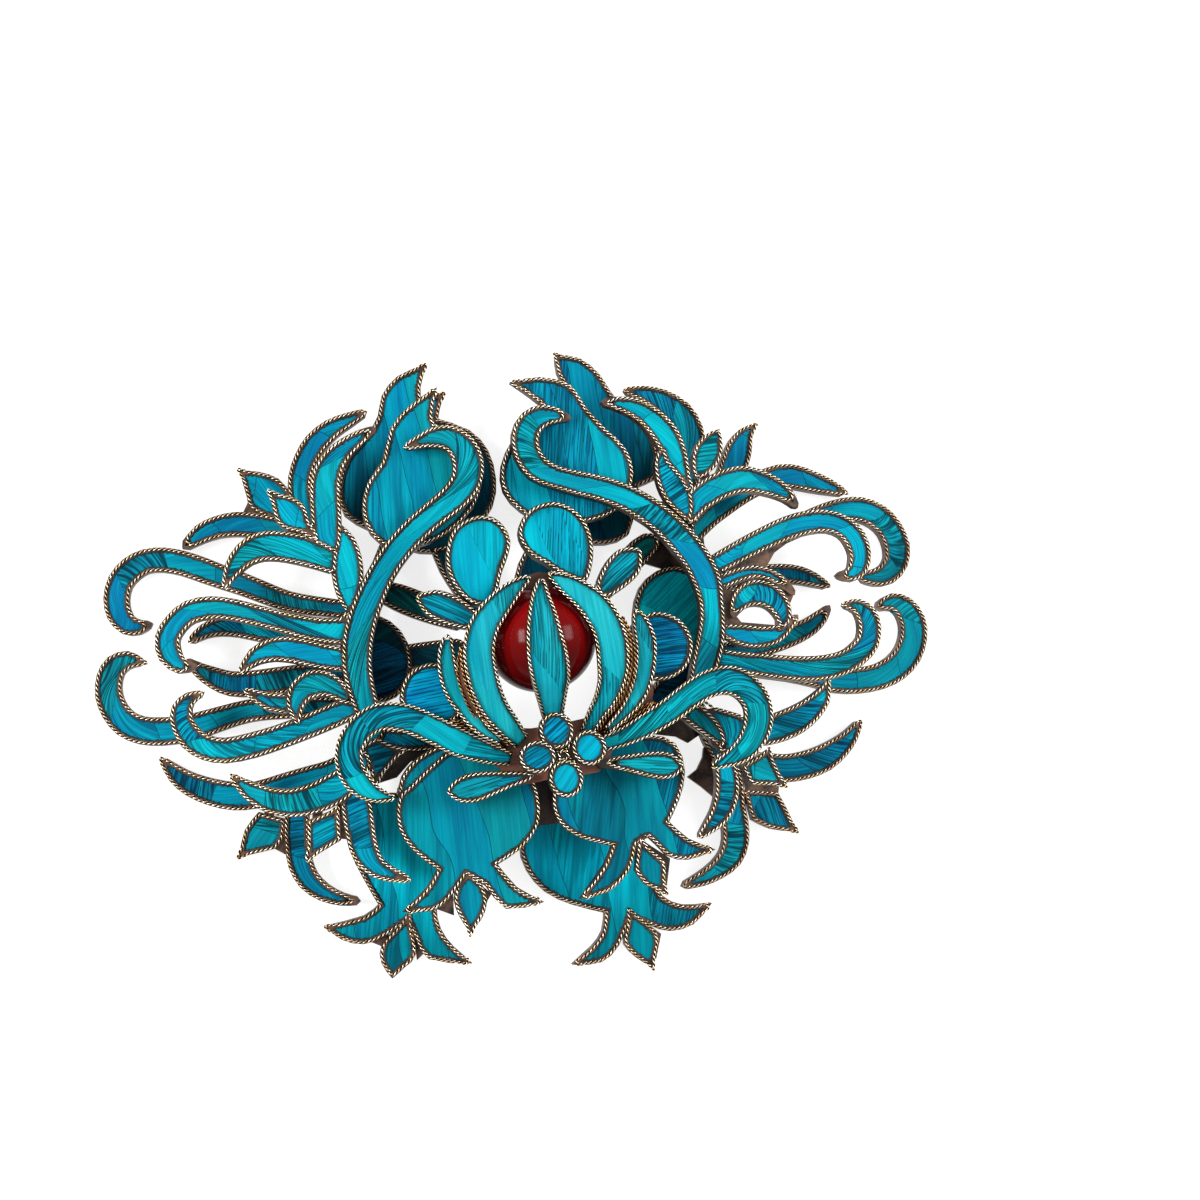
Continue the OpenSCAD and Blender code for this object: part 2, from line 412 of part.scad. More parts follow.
upper_left_foot_cells = [
    // Down-curved crescent, kite leaf and long crescent
    ["leaf", [[-12.3, -18.9, 0.1], [-13.5, -18.4, 0.45], [-14.9, -17.6, 0.75],
        [-15.8, -16.2, 1.05], [-16.1, -14.5, 1.15], [-16.2, -12.5, 1.2], [-16.2, -10.8, 1.15],
        [-15.9, -9, 0.9]]],
    ["leaf", [[-27, -8, 0.1], [-25.7, -9.3, 0.65], [-24, -10.4, 0.95], [-22, -10.9, 1.1],
        [-20, -10.7, 1.2], [-18.2, -10.1, 1.25], [-16.6, -9.2, 1.1], [-15.4, -7.8, 0.8]]],
    ["loop", [[-20.6, -12.8, 1], [-18, -12, 1], [-18.1, -14.6, 1], [-20.9, -15.9, 1]]],
    // Leaf inside the curl of the long petal
    ["loop", [[-15.1, -6.6, 1], [-13.8, -6, 1], [-11.8, -7.3, 1], [-14.3, -9.8, 1]]]];

upper_left_foot_bars = [[-19.6, -11, -19.9, -12.8]];
upper_left_foot_plates = [[[-18, -11.3], [-17.1, -11.5], [-17, -14.8], [-18, -14.6]]];

upper_right_foot_cells = [
    ["leaf", [[15.1, -18, 0.1], [16, -17.3, 0.45], [17, -16.4, 0.75], [17.7, -15.3, 0.9],
        [18.1, -14, 0.95], [18.2, -12.6, 0.9], [18.1, -11.2, 0.8]]],
    ["leaf", [[28.9, -5.3, 0.1], [28.3, -6.4, 0.65], [27.1, -7.45, 0.95], [25.6, -8.25, 1.15],
        [24, -8.75, 1.2], [22.3, -9.1, 1.1], [20.7, -9.2, 0.9]]],
    ["loop", [[19.9, -12.1, 1], [22.4, -11, 1], [23.5, -14.1, 1], [20.6, -13.7, 1]]],
    // Leaves inside the curl of the long petal
    ["loop", [[17, -6.6], [19, -7], [20.6, -7.9], [20.4, -9.4], [19, -10.6], [17.2, -9.6]]],
    ["leaf", [[18.2, -9.9, 0.1], [17.6, -8.8, 0.6], [16.6, -7.6, 0.85], [15.5, -6.7, 0.8],
        [14.4, -5.8, 0.5]]]];

upper_right_foot_bars = [[18.2, -11.6, 19, -9.6], [20.6, -9, 19.4, -8.8], [21.2, -12.2, 19.6, -9.8],
    [16.4, -7.8, 17.6, -8.4]];

// Horned buds of the upper tier
upper_left_bud_cells = [
    ["loop", [[-5, 25.9, 1], [-7.4, 24.5], [-9.3, 22.6], [-10.4, 19.6], [-12, 17.6],
        [-12.7, 15.2], [-12.2, 13], [-10.6, 11.6], [-8.4, 11.4], [-5.4, 12.4], [-2.8, 14.6],
        [-1.7, 17.2], [-2, 19.8], [-3.7, 21.7], [-5.5, 22.6], [-5.5, 24.2]]]];

upper_right_bud_cells = [
    ["loop", [[2.6, 26, 1], [5, 26.2], [7.7, 25.3], [8.9, 23.1], [10.4, 21], [12.2, 18.8],
        [12.6, 16.4], [11.6, 14], [9.6, 12.7], [7.2, 12.3], [4.4, 12.4], [1.9, 13.8],
        [0.5, 15.8], [0.6, 18.2], [2, 20.6], [4.2, 22.3], [5.3, 23.3], [4.2, 24.6]]]];

// Horned pomegranates of the upper tier, each with an almond leaf between its horns
upper_left_fruit_cells = [
    ["loop", [[-6.8, -19.2, 1], [-7.7, -20], [-8.1, -21.3], [-7.8, -22.7], [-7.1, -24.1, 1],
        [-6.1, -23.1], [-5.5, -21.7], [-5.8, -20.2]]],
    ["loop", [[-9.3, -18.3, 1], [-10.5, -20], [-12.6, -21.7, 1], [-10.4, -21.8], [-8.8, -20.9],
        [-7, -18.9, 1], [-5.2, -20.2], [-3.6, -22.4], [-0.5, -22.3, 1], [-2.6, -20.9],
        [-4.3, -18.4, 1], [-1.8, -17.1], [-0.1, -15.2], [0.1, -12.4], [-1, -9.8], [-3.6, -8.2],
        [-7, -7.9], [-10, -9.2], [-12.1, -11.3], [-12.5, -14], [-11.4, -16.3]]],
    // Leaf on its shoulder
    ["leaf", [[-12.2, -11.4, 0.1], [-11.3, -10.1, 0.6], [-10, -8.9, 0.7], [-8.5, -8, 0.55],
        [-7.2, -7.4, 0.2]]]];

upper_left_fruit_plates = [[[-8.3, -20.7], [-8.4, -22.7], [-10, -21.9]],
    [[-6.1, -19.8], [-4.8, -21.1], [-5.6, -22.2]]];

upper_right_fruit_cells = [
    ["loop", [[9.3, -17.9, 1], [11.3, -20.1, 1], [11.1, -22.6, 1], [9.6, -21.8],
        [8.8, -20.5, 1]]],
    ["loop", [[6.9, -17.9, 1], [5.9, -19.8], [3.6, -22.3, 1], [6, -21.9], [8, -20.2],
        [8.8, -18.1, 1], [10.2, -17.4], [11.8, -19.3], [13.6, -19.9], [16, -19.4, 1],
        [13.8, -18.3], [12, -16.4, 1], [13.2, -14.4], [14, -12], [13.4, -9.4], [11, -8.4],
        [7, -8.7], [4, -10.2], [1.9, -12.4], [2, -15], [3.9, -16.8]]]];

upper_right_fruit_plates = [[[9.6, -17.8], [12.1, -19.8], [11.5, -22.4], [11.2, -20]]];

// Flat leaves of the flower

club_left_plane = [190, 0.08, 10.15];
club_right_plane = [350, 0.08, 10.5];
teardrop_left_plane = [97, 0.18, 13.5];
teardrop_right_plane = [75, 0.16, 13.4];
oval_left_plane = [150, 0.13, 13.2];
oval_right_plane = [40, 0.13, 13.3];
level_plane = [0, 0, 0];
disc_z = 9.8;
blossom_z = 12;

club_left_cells = [["leaf", [[-0.7, -10.9, 0.2], [-2.4, -11, 0.55], [-4.3, -11.2, 0.95],
    [-5.9, -11.4, 1.15], [-7.1, -11.5, 0.9], [-7.8, -11.5, 0.3]]]];
club_right_cells = [["leaf", [[5.8, -10.5, 0.2], [7.6, -10.6, 0.45], [9.6, -10.9, 0.85],
    [11.4, -11.2, 1.1], [12.5, -11.4, 0.9], [13.1, -11.5, 0.35]]]];
teardrop_left_cells = [["loop", [[-4.4, 5], [-5.3, 5.9], [-5.95, 7.2], [-6.2, 8.8], [-5.9, 10.5],
    [-5.1, 11.9], [-3.9, 12.6], [-2.8, 12.8], [-1.7, 12.5], [-0.9, 11.6], [-0.55, 10.3],
    [-0.9, 9.1], [-1.45, 8], [-1.9, 6.9], [-2.3, 5.7], [-3.1, 4.7]]]];
teardrop_right_cells = [["loop", [[5.9, 6.1], [6.4, 6.9], [6.8, 8.2], [6.95, 9.6], [6.75, 10.9],
    [6.2, 12.1], [5.3, 12.95], [4.25, 13.4], [3.1, 13.35], [2, 13], [1.1, 12.1], [0.65, 11],
    [0.85, 9.9], [1.6, 8.8], [2.6, 8.1], [3.6, 7.25], [4.9, 6.4]]]];
oval_left_cells = [["leaf", [[-4.8, 3.5, 0.8], [-5.8, 4.1, 1.1], [-7, 4.8, 1.2],
    [-8.1, 5.4, 1], [-8.9, 5.8, 0.4]]]];
oval_right_cells = [["leaf", [[7.8, 5.2, 0.8], [8.7, 6.1, 1.15], [9.6, 6.9, 1.3],
    [10.4, 7.6, 1.15], [11, 8.1, 0.5]]]];

// Round leaf: [x, y, radius]
disc_left = [-8.6, -2.8, 2.8];
disc_right = [12.5, -0.4, 3];
function round_cell(d) = ["loop", [for (a = [0:45:315]) [d[0] + d[2] * cos(a), d[1] + d[2] * sin(a)]]];

// Round lobes of the blossom: [direction, distance of its middle, half length, half width]
blossom_at = [2.3, -9.45];
blossom_lobes = [[101, 2.3, 1.5, 1.4], [10, 2.4, 1.4, 1.45], [178, 2.4, 1.5, 1.3],
    [269, 2.1, 1.55, 1.4]];
function lobe_cell(lobe) = let (out = [cos(lobe[0]), sin(lobe[0])], side = [-out[1], out[0]])
    ["loop", [for (a = [0:45:315])
        blossom_at + out * (lobe[1] + lobe[2] * cos(a)) + side * lobe[3] * sin(a)]];
blossom_cells = [for (lobe = blossom_lobes) lobe_cell(lobe)];

// Petals of the flower, from the foot to the tip: [x, y, z of the floor, half width]
wide_left_rows = [[-1.05, -7.8, 10.3, 0.6], [-2.3, -6.1, 11.1, 0.88], [-3.35, -4.6, 12, 1.03],
    [-4.05, -2.85, 12.8, 1.15], [-4.4, -1, 13.3, 1.19], [-4.4, 0.7, 13.7, 1.19],
    [-3.8, 2.6, 13.9, 1.13], [-2.4, 4.3, 14.1, 0.95], [-0.8, 5.7, 14.2, 0.6],
    [0.5, 6.5, 14.2, 0.15]];
wide_right_rows = [[4.95, -7.6, 10.3, 0.45], [5.9, -6, 11.1, 0.6], [6.65, -4.9, 12, 0.78],
    [7.3, -3.45, 12.8, 1], [7.6, -1.8, 13.3, 1.2], [7.6, 0, 13.7, 1.25], [7.25, 1.75, 13.9, 1.23],
    [6.4, 3.35, 14.1, 1.18], [5.25, 4.65, 14.2, 0.98], [3.85, 5.8, 14.2, 0.68],
    [2.7, 6.6, 14.2, 0.15]];
narrow_left_rows = [[-3.05, -7.6, 11.2, 0.15], [-4.5, -6.45, 11.55, 0.42], [-5.25, -5.5, 11.6, 0.55],
    [-5.8, -4.55, 11.7, 0.62], [-6.75, -2.85, 11.95, 0.68], [-7.2, -1, 12.2, 0.67],
    [-7.2, 0.8, 12.4, 0.52], [-7, 1.9, 12.5, 0.28]];
narrow_right_rows = [[6.75, -7.6, 11.2, 0.15], [7.7, -6.8, 11.4, 0.28],
    [8.65, -5.95, 11.5, 0.42], [9.65, -4.8, 11.6, 0.6], [10.4, -3.2, 11.9, 0.68],
    [10.8, -1.5, 12.2, 0.72], [10.9, 0.1, 12.4, 0.74], [10.65, 1.6, 12.5, 0.58],
    [10.45, 2.5, 12.5, 0.3]];
centre_rows = [[2.1, -6.6, 10.7, 0.6], [1.9, -5.55, 11.5, 0.81], [1.8, -4.3, 12.7, 1.1],
    [1.65, -2.7, 14.4, 1.5], [1.4, -0.8, 15.5, 1.6], [1.25, 1.2, 15.9, 1.37],
    [1.3, 3.2, 15.7, 1.02], [1.4, 4.8, 15.2, 0.6], [1.65, 6, 14.8, 0.2]];
recurved_left_rows = [[-2.2, -9.2, 10.25, 0.4], [-4.1, -8.5, 10.5, 0.75],
    [-6.5, -7.4, 10.9, 1.05], [-9, -5.9, 11.3, 1.05], [-11.5, -4.6, 11.5, 1.05],
    [-13.8, -4.3, 11.4, 1], [-15.6, -5.3, 11.1, 1], [-16.6, -6.9, 10.8, 1],
    [-16.6, -8.7, 10.5, 1], [-15.8, -10.1, 10.3, 0.9], [-14.5, -11.1, 10.2, 0.5],
    [-13.2, -11.5, 10.1, 0.1]];
recurved_right_rows = [[5.8, -8.85, 10.3, 0.45], [8.2, -8.3, 10.5, 0.65], [10.3, -7.5, 10.9, 0.85],
    [12.8, -6.3, 11.2, 0.95], [15, -5, 11.4, 1], [16.8, -4.3, 11.5, 1.05],
    [18.7, -4.3, 11.4, 1.1], [20.1, -5.2, 11.1, 1.1], [20.9, -6.6, 10.8, 1.1],
    [20.9, -8.2, 10.5, 1.1], [20.2, -9.7, 10.3, 1], [19, -10.8, 10.2, 0.8],
    [17.6, -11.4, 10.1, 0.45], [16.4, -11.8, 10.05, 0.15]];

// Section of a petal: [part of the half width, is past the rim, height over the floor]
petal_section = [[-1, 1, petal_rim], [-1, 0, petal_rim], [-1, -0.3, 0], [1, -0.3, 0],
    [1, 0, petal_rim], [1, 1, petal_rim], [1, 1, -petal_t], [-1, 1, -petal_t]];

function petal_ring(line, i) = let (
    p = line[i], across = -left_of(heading(line, i))) [
        for (s = petal_section) let (w = s[0] * (p[3] + s[1] * grow))
            [p[0] + across[0] * w, p[1] + across[1] * w, p[2] + s[2]]];

// Rings of points joined into a closed solid, with flat ends
module skin(rings) {
    n = len(rings[0]);
    last = len(rings) - 1;
    polyhedron(
        points = [for (r = rings) for (p = r) p],
        faces = concat(
            [[for (k = [0:n - 1]) k]],
            [for (i = [0:last - 1]) for (k = [0:n - 1])
                [i * n + k, (i + 1) * n + k, (i + 1) * n + (k + 1) % n]],
            [for (i = [0:last - 1]) for (k = [0:n - 1])
                [i * n + k, (i + 1) * n + (k + 1) % n, i * n + (k + 1) % n]],
            [[for (k = [n - 1:-1:0]) last * n + k]]));
}

module petal(rows) {
    line = along(rows);
    color(gilt) skin([for (i = [0:len(line) - 1]) petal_ring(line, i)]);
}

bead_at = [1.75, 1.35, 10];
cup_z = 9.2;
cup_t = 0.5;
rail_z = 3.75;
rail_top = 6.3;
rail_w = 0.6;

// The rail runs under the arms and the long petals: [x, y, half width]
rail_left = [[-11.5, 9.4, rail_w], [-12.8, 7.3, rail_w], [-13.8, 5, rail_w], [-14.4, 2.8, rail_w],
    [-14.6, 0.6, rail_w], [-14.3, -1.8, rail_w], [-13.1, -3.7, rail_w], [-10.9, -4.3, rail_w],
    [-8.3, -5.4, rail_w], [-5.7, -7, rail_w], [-3.1, -8.3, rail_w], [0, -9, rail_w],
    [2.3, -9.2, rail_w]];
rail_right = [[15.6, 11.6, rail_w], [17.2, 9.5, rail_w], [18.4, 7.2, rail_w],
    [19.1, 4.8, rail_w], [19, 2.4, rail_w], [18.6, 0.3, rail_w], [17.9, -1.8, rail_w],
    [16.9, -3.8, rail_w], [15, -5.3, rail_w], [12, -6.8, rail_w], [9, -8, rail_w],
    [5.6, -9, rail_w], [2.3, -9.2, rail_w]];

// Edge of the plate that carries the petals
cup_rows = [[-9.6, -4.6], [-8.2, -3.6, 1], [-6, -4.6], [-3, -6], [0, -6.6], [2.3, -6.4],
    [5, -6.2], [8, -5], [10.2, -3.2], [11.6, -2.7, 1], [11.7, -4.2, 1], [11.4, -5.4], [10.4, -6.6],
    [7.6, -8.9], [5.8, -11.2], [2.3, -11.2], [-1.6, -11.6], [-3.2, -9.9], [-6, -7.8]];

module lower_left_spray() {
    color(brown) sheet(lower_left_cells, lower_left_plane, lower_left_bars, lower_left_plates);
}
module lower_right_spray() {
    color(brown) sheet(lower_right_cells, lower_right_plane, lower_right_bars, lower_right_plates);
}
module lower_left_foot() {
    color(brown) sheet(lower_left_foot_cells, lower_left_foot_plane, lower_left_foot_bars,
        lower_left_foot_plates);
}
module lower_right_foot() {
    color(brown) sheet(lower_right_foot_cells, lower_right_foot_plane, lower_right_foot_bars,
        lower_right_foot_plates);
}
module lower_left_bud() { color(brown) sheet(lower_left_bud_cells, lower_left_bud_plane); }
module lower_right_bud() { color(brown) sheet(lower_right_bud_cells, lower_right_bud_plane); }
module lower_left_pomegranate() {
    color(brown) sheet(lower_left_fruit_cells, lower_left_fruit_plane, [], lower_left_fruit_plates);
}
module lower_right_pomegranate() {
    color(brown) sheet(lower_right_fruit_cells, lower_right_fruit_plane, [],
        lower_right_fruit_plates);
}
module upper_left_spray() {
    color(gilt) sheet(upper_left_cells, upper_left_plane, upper_left_bars);
}
module upper_right_spray() {
    color(gilt) sheet(upper_right_cells, upper_right_plane, upper_right_bars, upper_right_plates);
}
module upper_left_foot() {
    color(gilt) sheet(upper_left_foot_cells, upper_left_foot_plane, upper_left_foot_bars,
        upper_left_foot_plates);
}
module upper_right_foot() {
    color(gilt) sheet(upper_right_foot_cells, upper_right_foot_plane, upper_right_foot_bars);
}
module upper_left_bud() { color(gilt) sheet(upper_left_bud_cells, upper_left_bud_plane); }
module upper_right_bud() { color(gilt) sheet(upper_right_bud_cells, upper_right_bud_plane); }
module upper_left_pomegranate() {
    color(gilt) sheet(upper_left_fruit_cells, upper_left_fruit_plane, [], upper_left_fruit_plates);
}
module upper_right_pomegranate() {
    color(gilt) sheet(upper_right_fruit_cells, upper_right_fruit_plane, [],
        upper_right_fruit_plates);
}

module lower_left_feathers() {
    color(teal) inlay(lower_left_cells, lower_left_plane);
    color(teal) inlay(lower_left_foot_cells, lower_left_foot_plane);
}
module lower_right_feathers() {
    color(teal) inlay(lower_right_cells, lower_right_plane);
    color(teal) inlay(lower_right_foot_cells, lower_right_foot_plane);
}
module lower_bud_feathers() {
    color(azure) inlay(lower_left_bud_cells, lower_left_bud_plane);
    color(azure) inlay(lower_right_bud_cells, lower_right_bud_plane);
}
module lower_pomegranate_feathers() {
    color(teal) inlay(lower_left_fruit_cells, lower_left_fruit_plane);
    color(teal) inlay(lower_right_fruit_cells, lower_right_fruit_plane);
}
module upper_left_feathers() {
    color(turquoise) inlay(upper_left_cells, upper_left_plane);
    color(turquoise) inlay(upper_left_foot_cells, upper_left_foot_plane);
}
module upper_right_feathers() {
    color(turquoise) inlay(upper_right_cells, upper_right_plane);
    color(turquoise) inlay(upper_right_foot_cells, upper_right_foot_plane);
}
module upper_bud_feathers() {
    color(turquoise) inlay(upper_left_bud_cells, upper_left_bud_plane);
    color(turquoise) inlay(upper_right_bud_cells, upper_right_bud_plane);
}
module upper_pomegranate_feathers() {
    color(turquoise) inlay(upper_left_fruit_cells, upper_left_fruit_plane);
    color(turquoise) inlay(upper_right_fruit_cells, upper_right_fruit_plane);
}
module flower_feathers() {
    color(turquoise) inlay(club_left_cells, club_left_plane);
    color(turquoise) inlay(club_right_cells, club_right_plane);
    color(turquoise) inlay(teardrop_left_cells, teardrop_left_plane);
    color(turquoise) inlay(teardrop_right_cells, teardrop_right_plane);
    color(turquoise) inlay(oval_left_cells, oval_left_plane);
    color(turquoise) inlay(oval_right_cells, oval_right_plane);
    color(azure) translate([0, 0, disc_z]) inlay([round_cell(disc_left)], level_plane);
    color(azure) translate([0, 0, disc_z]) inlay([round_cell(disc_right)], level_plane);
    color(azure) translate([0, 0, blossom_z]) inlay(blossom_cells, level_plane);
}

module recurved_petal_left() { petal(recurved_left_rows); }
module recurved_petal_right() { petal(recurved_right_rows); }
module narrow_petal_left() { petal(narrow_left_rows); }
module narrow_petal_right() { petal(narrow_right_rows); }
module wide_petal_left() { petal(wide_left_rows); }
module wide_petal_right() { petal(wide_right_rows); }
module centre_petal() { petal(centre_rows); }
module club_leaf_left() { color(gilt) sheet(club_left_cells, club_left_plane); }
module club_leaf_right() { color(gilt) sheet(club_right_cells, club_right_plane); }
module teardrop_left() { color(gilt) sheet(teardrop_left_cells, teardrop_left_plane); }
module teardrop_right() { color(gilt) sheet(teardrop_right_cells, teardrop_right_plane); }
module oval_leaf_left() { color(gilt) sheet(oval_left_cells, oval_left_plane); }
module oval_leaf_right() { color(gilt) sheet(oval_right_cells, oval_right_plane); }
module striped_disc_left() {
    color(gilt) translate([0, 0, disc_z]) sheet([round_cell(disc_left)], level_plane);
}
module striped_disc_right() {
    color(gilt) translate([0, 0, disc_z]) sheet([round_cell(disc_right)], level_plane);
}
module blossom() {
    hub_d = 2.6;
    color(gilt) translate([0, 0, blossom_z]) {
        sheet(blossom_cells, level_plane);
        translate(blossom_at) cylinder(d = hub_d, h = sheet_t, $fn = 24);
    }
}

module bead() {
    color("darkred") translate(bead_at) rotate([90, 0, 0]) difference() {
        sphere(d = bead_d, $fn = 64);
        cylinder(d = bead_hole, h = bead_d + 2, center = true, $fn = 32);
    }
}

module bead_wire() {
    wire_foot = 6.65;
    wire_end = 5.25;
    color(gilt) translate(bead_at) rotate([90, 0, 0]) translate([0, 0, -wire_end])
        cylinder(d = bead_wire_d, h = wire_foot + wire_end, $fn = 24);
}

// Plate under the petals, its stem down to the rail and its post up to the blossom
module flower_cup() {
    post_d = 2;
    color(copper) union() {
        translate([0, 0, cup_z]) linear_extrude(cup_t) polygon(around(cup_rows));
        translate([blossom_at[0], blossom_at[1], rail_top + 0.05])
            cylinder(d = post_d, h = blossom_z - rail_top - 0.1, $fn = 32);
    }
}

module petal_collar() {
    collar_z = 13.1;
    color(copper) translate([0, 0, collar_z]) linear_extrude(0.5) polygon(around(
        [[-0.9, 5.8], [1.7, 5.55], [4.2, 5.8], [4.2, 6.4], [1.7, 7.1], [-0.9, 6.4]]));
}

// Rail between the tiers, with the bare stem between the pomegranates
module back_frame() {
    stem_x = 0.1;
    stem_w = 2.6;
    color(brown) union() {
        translate([0, 0, rail_z]) linear_extrude(rail_top - rail_z) union() {
            polygon(leaf_outline(rail_left, 0));
            polygon(leaf_outline(rail_right, 0));
        }
        translate([stem_x, -15.4, 5.4]) cube([stem_w, 6.4, rail_top - 5.4]);
    }
}

// Pin, its bar, hinge and catch, in one piece
module pin_fitting() {
    bar_z = 1.4;
    bar_t = 0.6;
    pin_z = 0.86;
    knuckle_d = 1.5;
    bar_y = -9.2;
    left_x = -10.3;
    color(brown) union() {
        translate([left_x, bar_y - 0.8, bar_z]) cube([pin_len, 1.6, bar_t]);
        translate([left_x + 0.8, bar_y + 0.8, pin_z]) rotate([90, 0, 0])
            cylinder(d = knuckle_d, h = 1.6, $fn = 32);
        translate([left_x + 0.8, bar_y, pin_z]) rotate([0, 90, 0])
            cylinder(d = pin_d, h = pin_len, $fn = 24);
        translate([left_x + pin_len - 1.4, bar_y - 0.8, 0.1]) cube([1.2, 0.4, 1.4]);
        translate([left_x + pin_len - 1.4, bar_y - 0.8, 0.1]) cube([1.2, 1.4, 0.3]);
    }
}

translate(centre_shift) {
    lower_left_spray();
    lower_right_spray();
    lower_left_foot();
    lower_right_foot();
    lower_left_bud();
    lower_right_bud();
    lower_left_pomegranate();
    lower_right_pomegranate();
    upper_left_spray();
    upper_right_spray();
    upper_left_foot();
    upper_right_foot();
    upper_left_bud();
    upper_right_bud();
    upper_left_pomegranate();
    upper_right_pomegranate();
    lower_left_feathers();
    lower_right_feathers();
    lower_bud_feathers();
    lower_pomegranate_feathers();
    upper_left_feathers();
    upper_right_feathers();
    upper_bud_feathers();
    upper_pomegranate_feathers();
    flower_feathers();
    recurved_petal_left();
    recurved_petal_right();
    narrow_petal_left();
    narrow_petal_right();
    wide_petal_left();
    wide_petal_right();
    centre_petal();
    club_leaf_left();
    club_leaf_right();
    teardrop_left();
    teardrop_right();
    oval_leaf_left();
    oval_leaf_right();
    striped_disc_left();
    striped_disc_right();
    blossom();
    bead();
    bead_wire();
    flower_cup();
    petal_collar();
    back_frame();
    pin_fitting();
}
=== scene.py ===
"""Filigree brooch: the CAD model dressed with twisted gilt wires, feather skins and a stone bead.

Lengths are millimetres and are turned into metres where a mesh is made.
"""

import math

import bpy
import numpy as np
from mathutils import Matrix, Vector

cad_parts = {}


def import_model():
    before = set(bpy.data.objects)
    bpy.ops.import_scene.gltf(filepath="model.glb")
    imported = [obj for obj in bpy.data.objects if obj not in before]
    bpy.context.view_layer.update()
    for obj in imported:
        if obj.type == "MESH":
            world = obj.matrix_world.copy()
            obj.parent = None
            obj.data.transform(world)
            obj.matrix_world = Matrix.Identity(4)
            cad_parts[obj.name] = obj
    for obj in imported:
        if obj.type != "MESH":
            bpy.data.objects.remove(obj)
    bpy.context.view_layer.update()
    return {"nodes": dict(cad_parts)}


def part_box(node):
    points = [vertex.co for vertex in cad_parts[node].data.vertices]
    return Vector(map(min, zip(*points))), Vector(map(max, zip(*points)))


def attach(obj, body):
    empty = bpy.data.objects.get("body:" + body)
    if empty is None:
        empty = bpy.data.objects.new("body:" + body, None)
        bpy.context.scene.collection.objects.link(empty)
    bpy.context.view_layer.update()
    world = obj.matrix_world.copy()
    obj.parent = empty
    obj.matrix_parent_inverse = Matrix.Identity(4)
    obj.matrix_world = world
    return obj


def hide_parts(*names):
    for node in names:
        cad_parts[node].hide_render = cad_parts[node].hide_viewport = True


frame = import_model()
nodes = frame["nodes"]

MM = 0.001

# The petals' tables are drawn round the middle of the flower, as in the CAD, and moved like it
CENTRE_SHIFT = np.array([-1.243, 0.13, -0.05])

STRAND_R = 0.078  # half the thickness of one strand of a twisted wire
STRAND_OUT = 0.076  # from the middle of the wire out to the middle of a strand
WIRE_PITCH = 0.92  # length of one full turn of a strand, which shows as two beads
WIRE_STEPS = 8  # rings along one turn
WIRE_SIDES = 5  # corners round a strand
WIRE_END_R = 0.001  # half the thickness of a strand at its two ends
WIRE_STEP = 0.12  # spacing of the points of a wire's path
WIRE_CLEAR = 0.2  # no wire is laid nearer than this to one that is already laid
WIRE_LEAST = 0.8  # a shorter stretch of wire is left out
RUN_LEAST = 8  # and so is one of no more points than this
RIM_OFFSET = 0.25  # from the edge of an inlay out to the middle of its rim
RIM_KEPT = 0.94  # share of that distance which the wire keeps from every part of the edge
RIM_RISE = 0.2  # from the top of an inlay up to the middle of the wire
TIP_GAP = 0.4  # from the tip of a sheet back to where the wire's sides meet
TIP_REACH = 2.0  # greatest distance from the narrow end of an inlay to the sheet's tip
TIP_AHEAD = 0.8  # least cosine of the angle between the way ahead and the way to that tip
TIP_STEP = 0.05  # spacing of an outline's points while its tips are drawn out
TIP_SPAN = 8  # points on each side over which the turn of an end is measured
TIP_TURN = 92  # degrees that a narrow end turns over that span
SHEET_TURN = 40  # degrees that a sheet's outline turns at the tip of a leaf

CORNER_TURN = 48  # degrees that an outline turns at a corner between straight stretches
STRAIGHT_TURN = 24  # degrees that it turns at most beside such a corner
ROUND_TURN = 98  # degrees beyond which a point is a corner whatever lies beside it
CORNER_LIMIT = 0.25  # least divisor for a corner of a moved outline, which keeps it short
BETWEEN = 8  # points from one row of an outline to the next once it is smooth


# Meshes


def add_mesh(name, points, quads, material, slot, uv=None, groove=None, thick=0.0):
    """A smooth mesh from points (n, 3) in mm and four-cornered faces (m, 4), riding on the root.
    An open skin is given some thickness downwards."""
    mesh = bpy.data.meshes.new(name)
    mesh.vertices.add(len(points))
    mesh.vertices.foreach_set("co", (points * MM).astype(np.float32).ravel())
    mesh.loops.add(quads.size)
    mesh.loops.foreach_set("vertex_index", quads.astype(np.int32).ravel())
    mesh.polygons.add(len(quads))
    starts = np.arange(0, quads.size, 4, dtype=np.int32)
    mesh.polygons.foreach_set("loop_start", starts)
    mesh.polygons.foreach_set("use_smooth", np.ones(len(quads), dtype=bool))
    if uv is not None:
        layer = mesh.uv_layers.new(name="barbs")
        layer.data.foreach_set("uv", uv[quads.ravel()].astype(np.float32).ravel())
    if groove is not None:
        layer = mesh.attributes.new("groove", "FLOAT", "POINT")
        layer.data.foreach_set("value", groove.astype(np.float32))
    mesh.materials.append(material)
    mesh.update(calc_edges=True)
    mesh.validate()
    piece = bpy.data.objects.new(name, mesh)
    bpy.context.scene.collection.objects.link(piece)
    if thick:
        wall = piece.modifiers.new("thickness", "SOLIDIFY")
        wall.thickness = thick * MM
        wall.offset = -1
    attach(piece, "root")
    return piece


def add_parts(name, parts, material, slot, extra=None, thick=0.0):
    """One piece from several parts, whose third values are its `extra`, "uv" or "groove"."""
    points, quads, values = joined(parts)
    values = {extra: values} if extra else {}
    return add_mesh(name, points, quads, material, slot, thick=thick, **values)


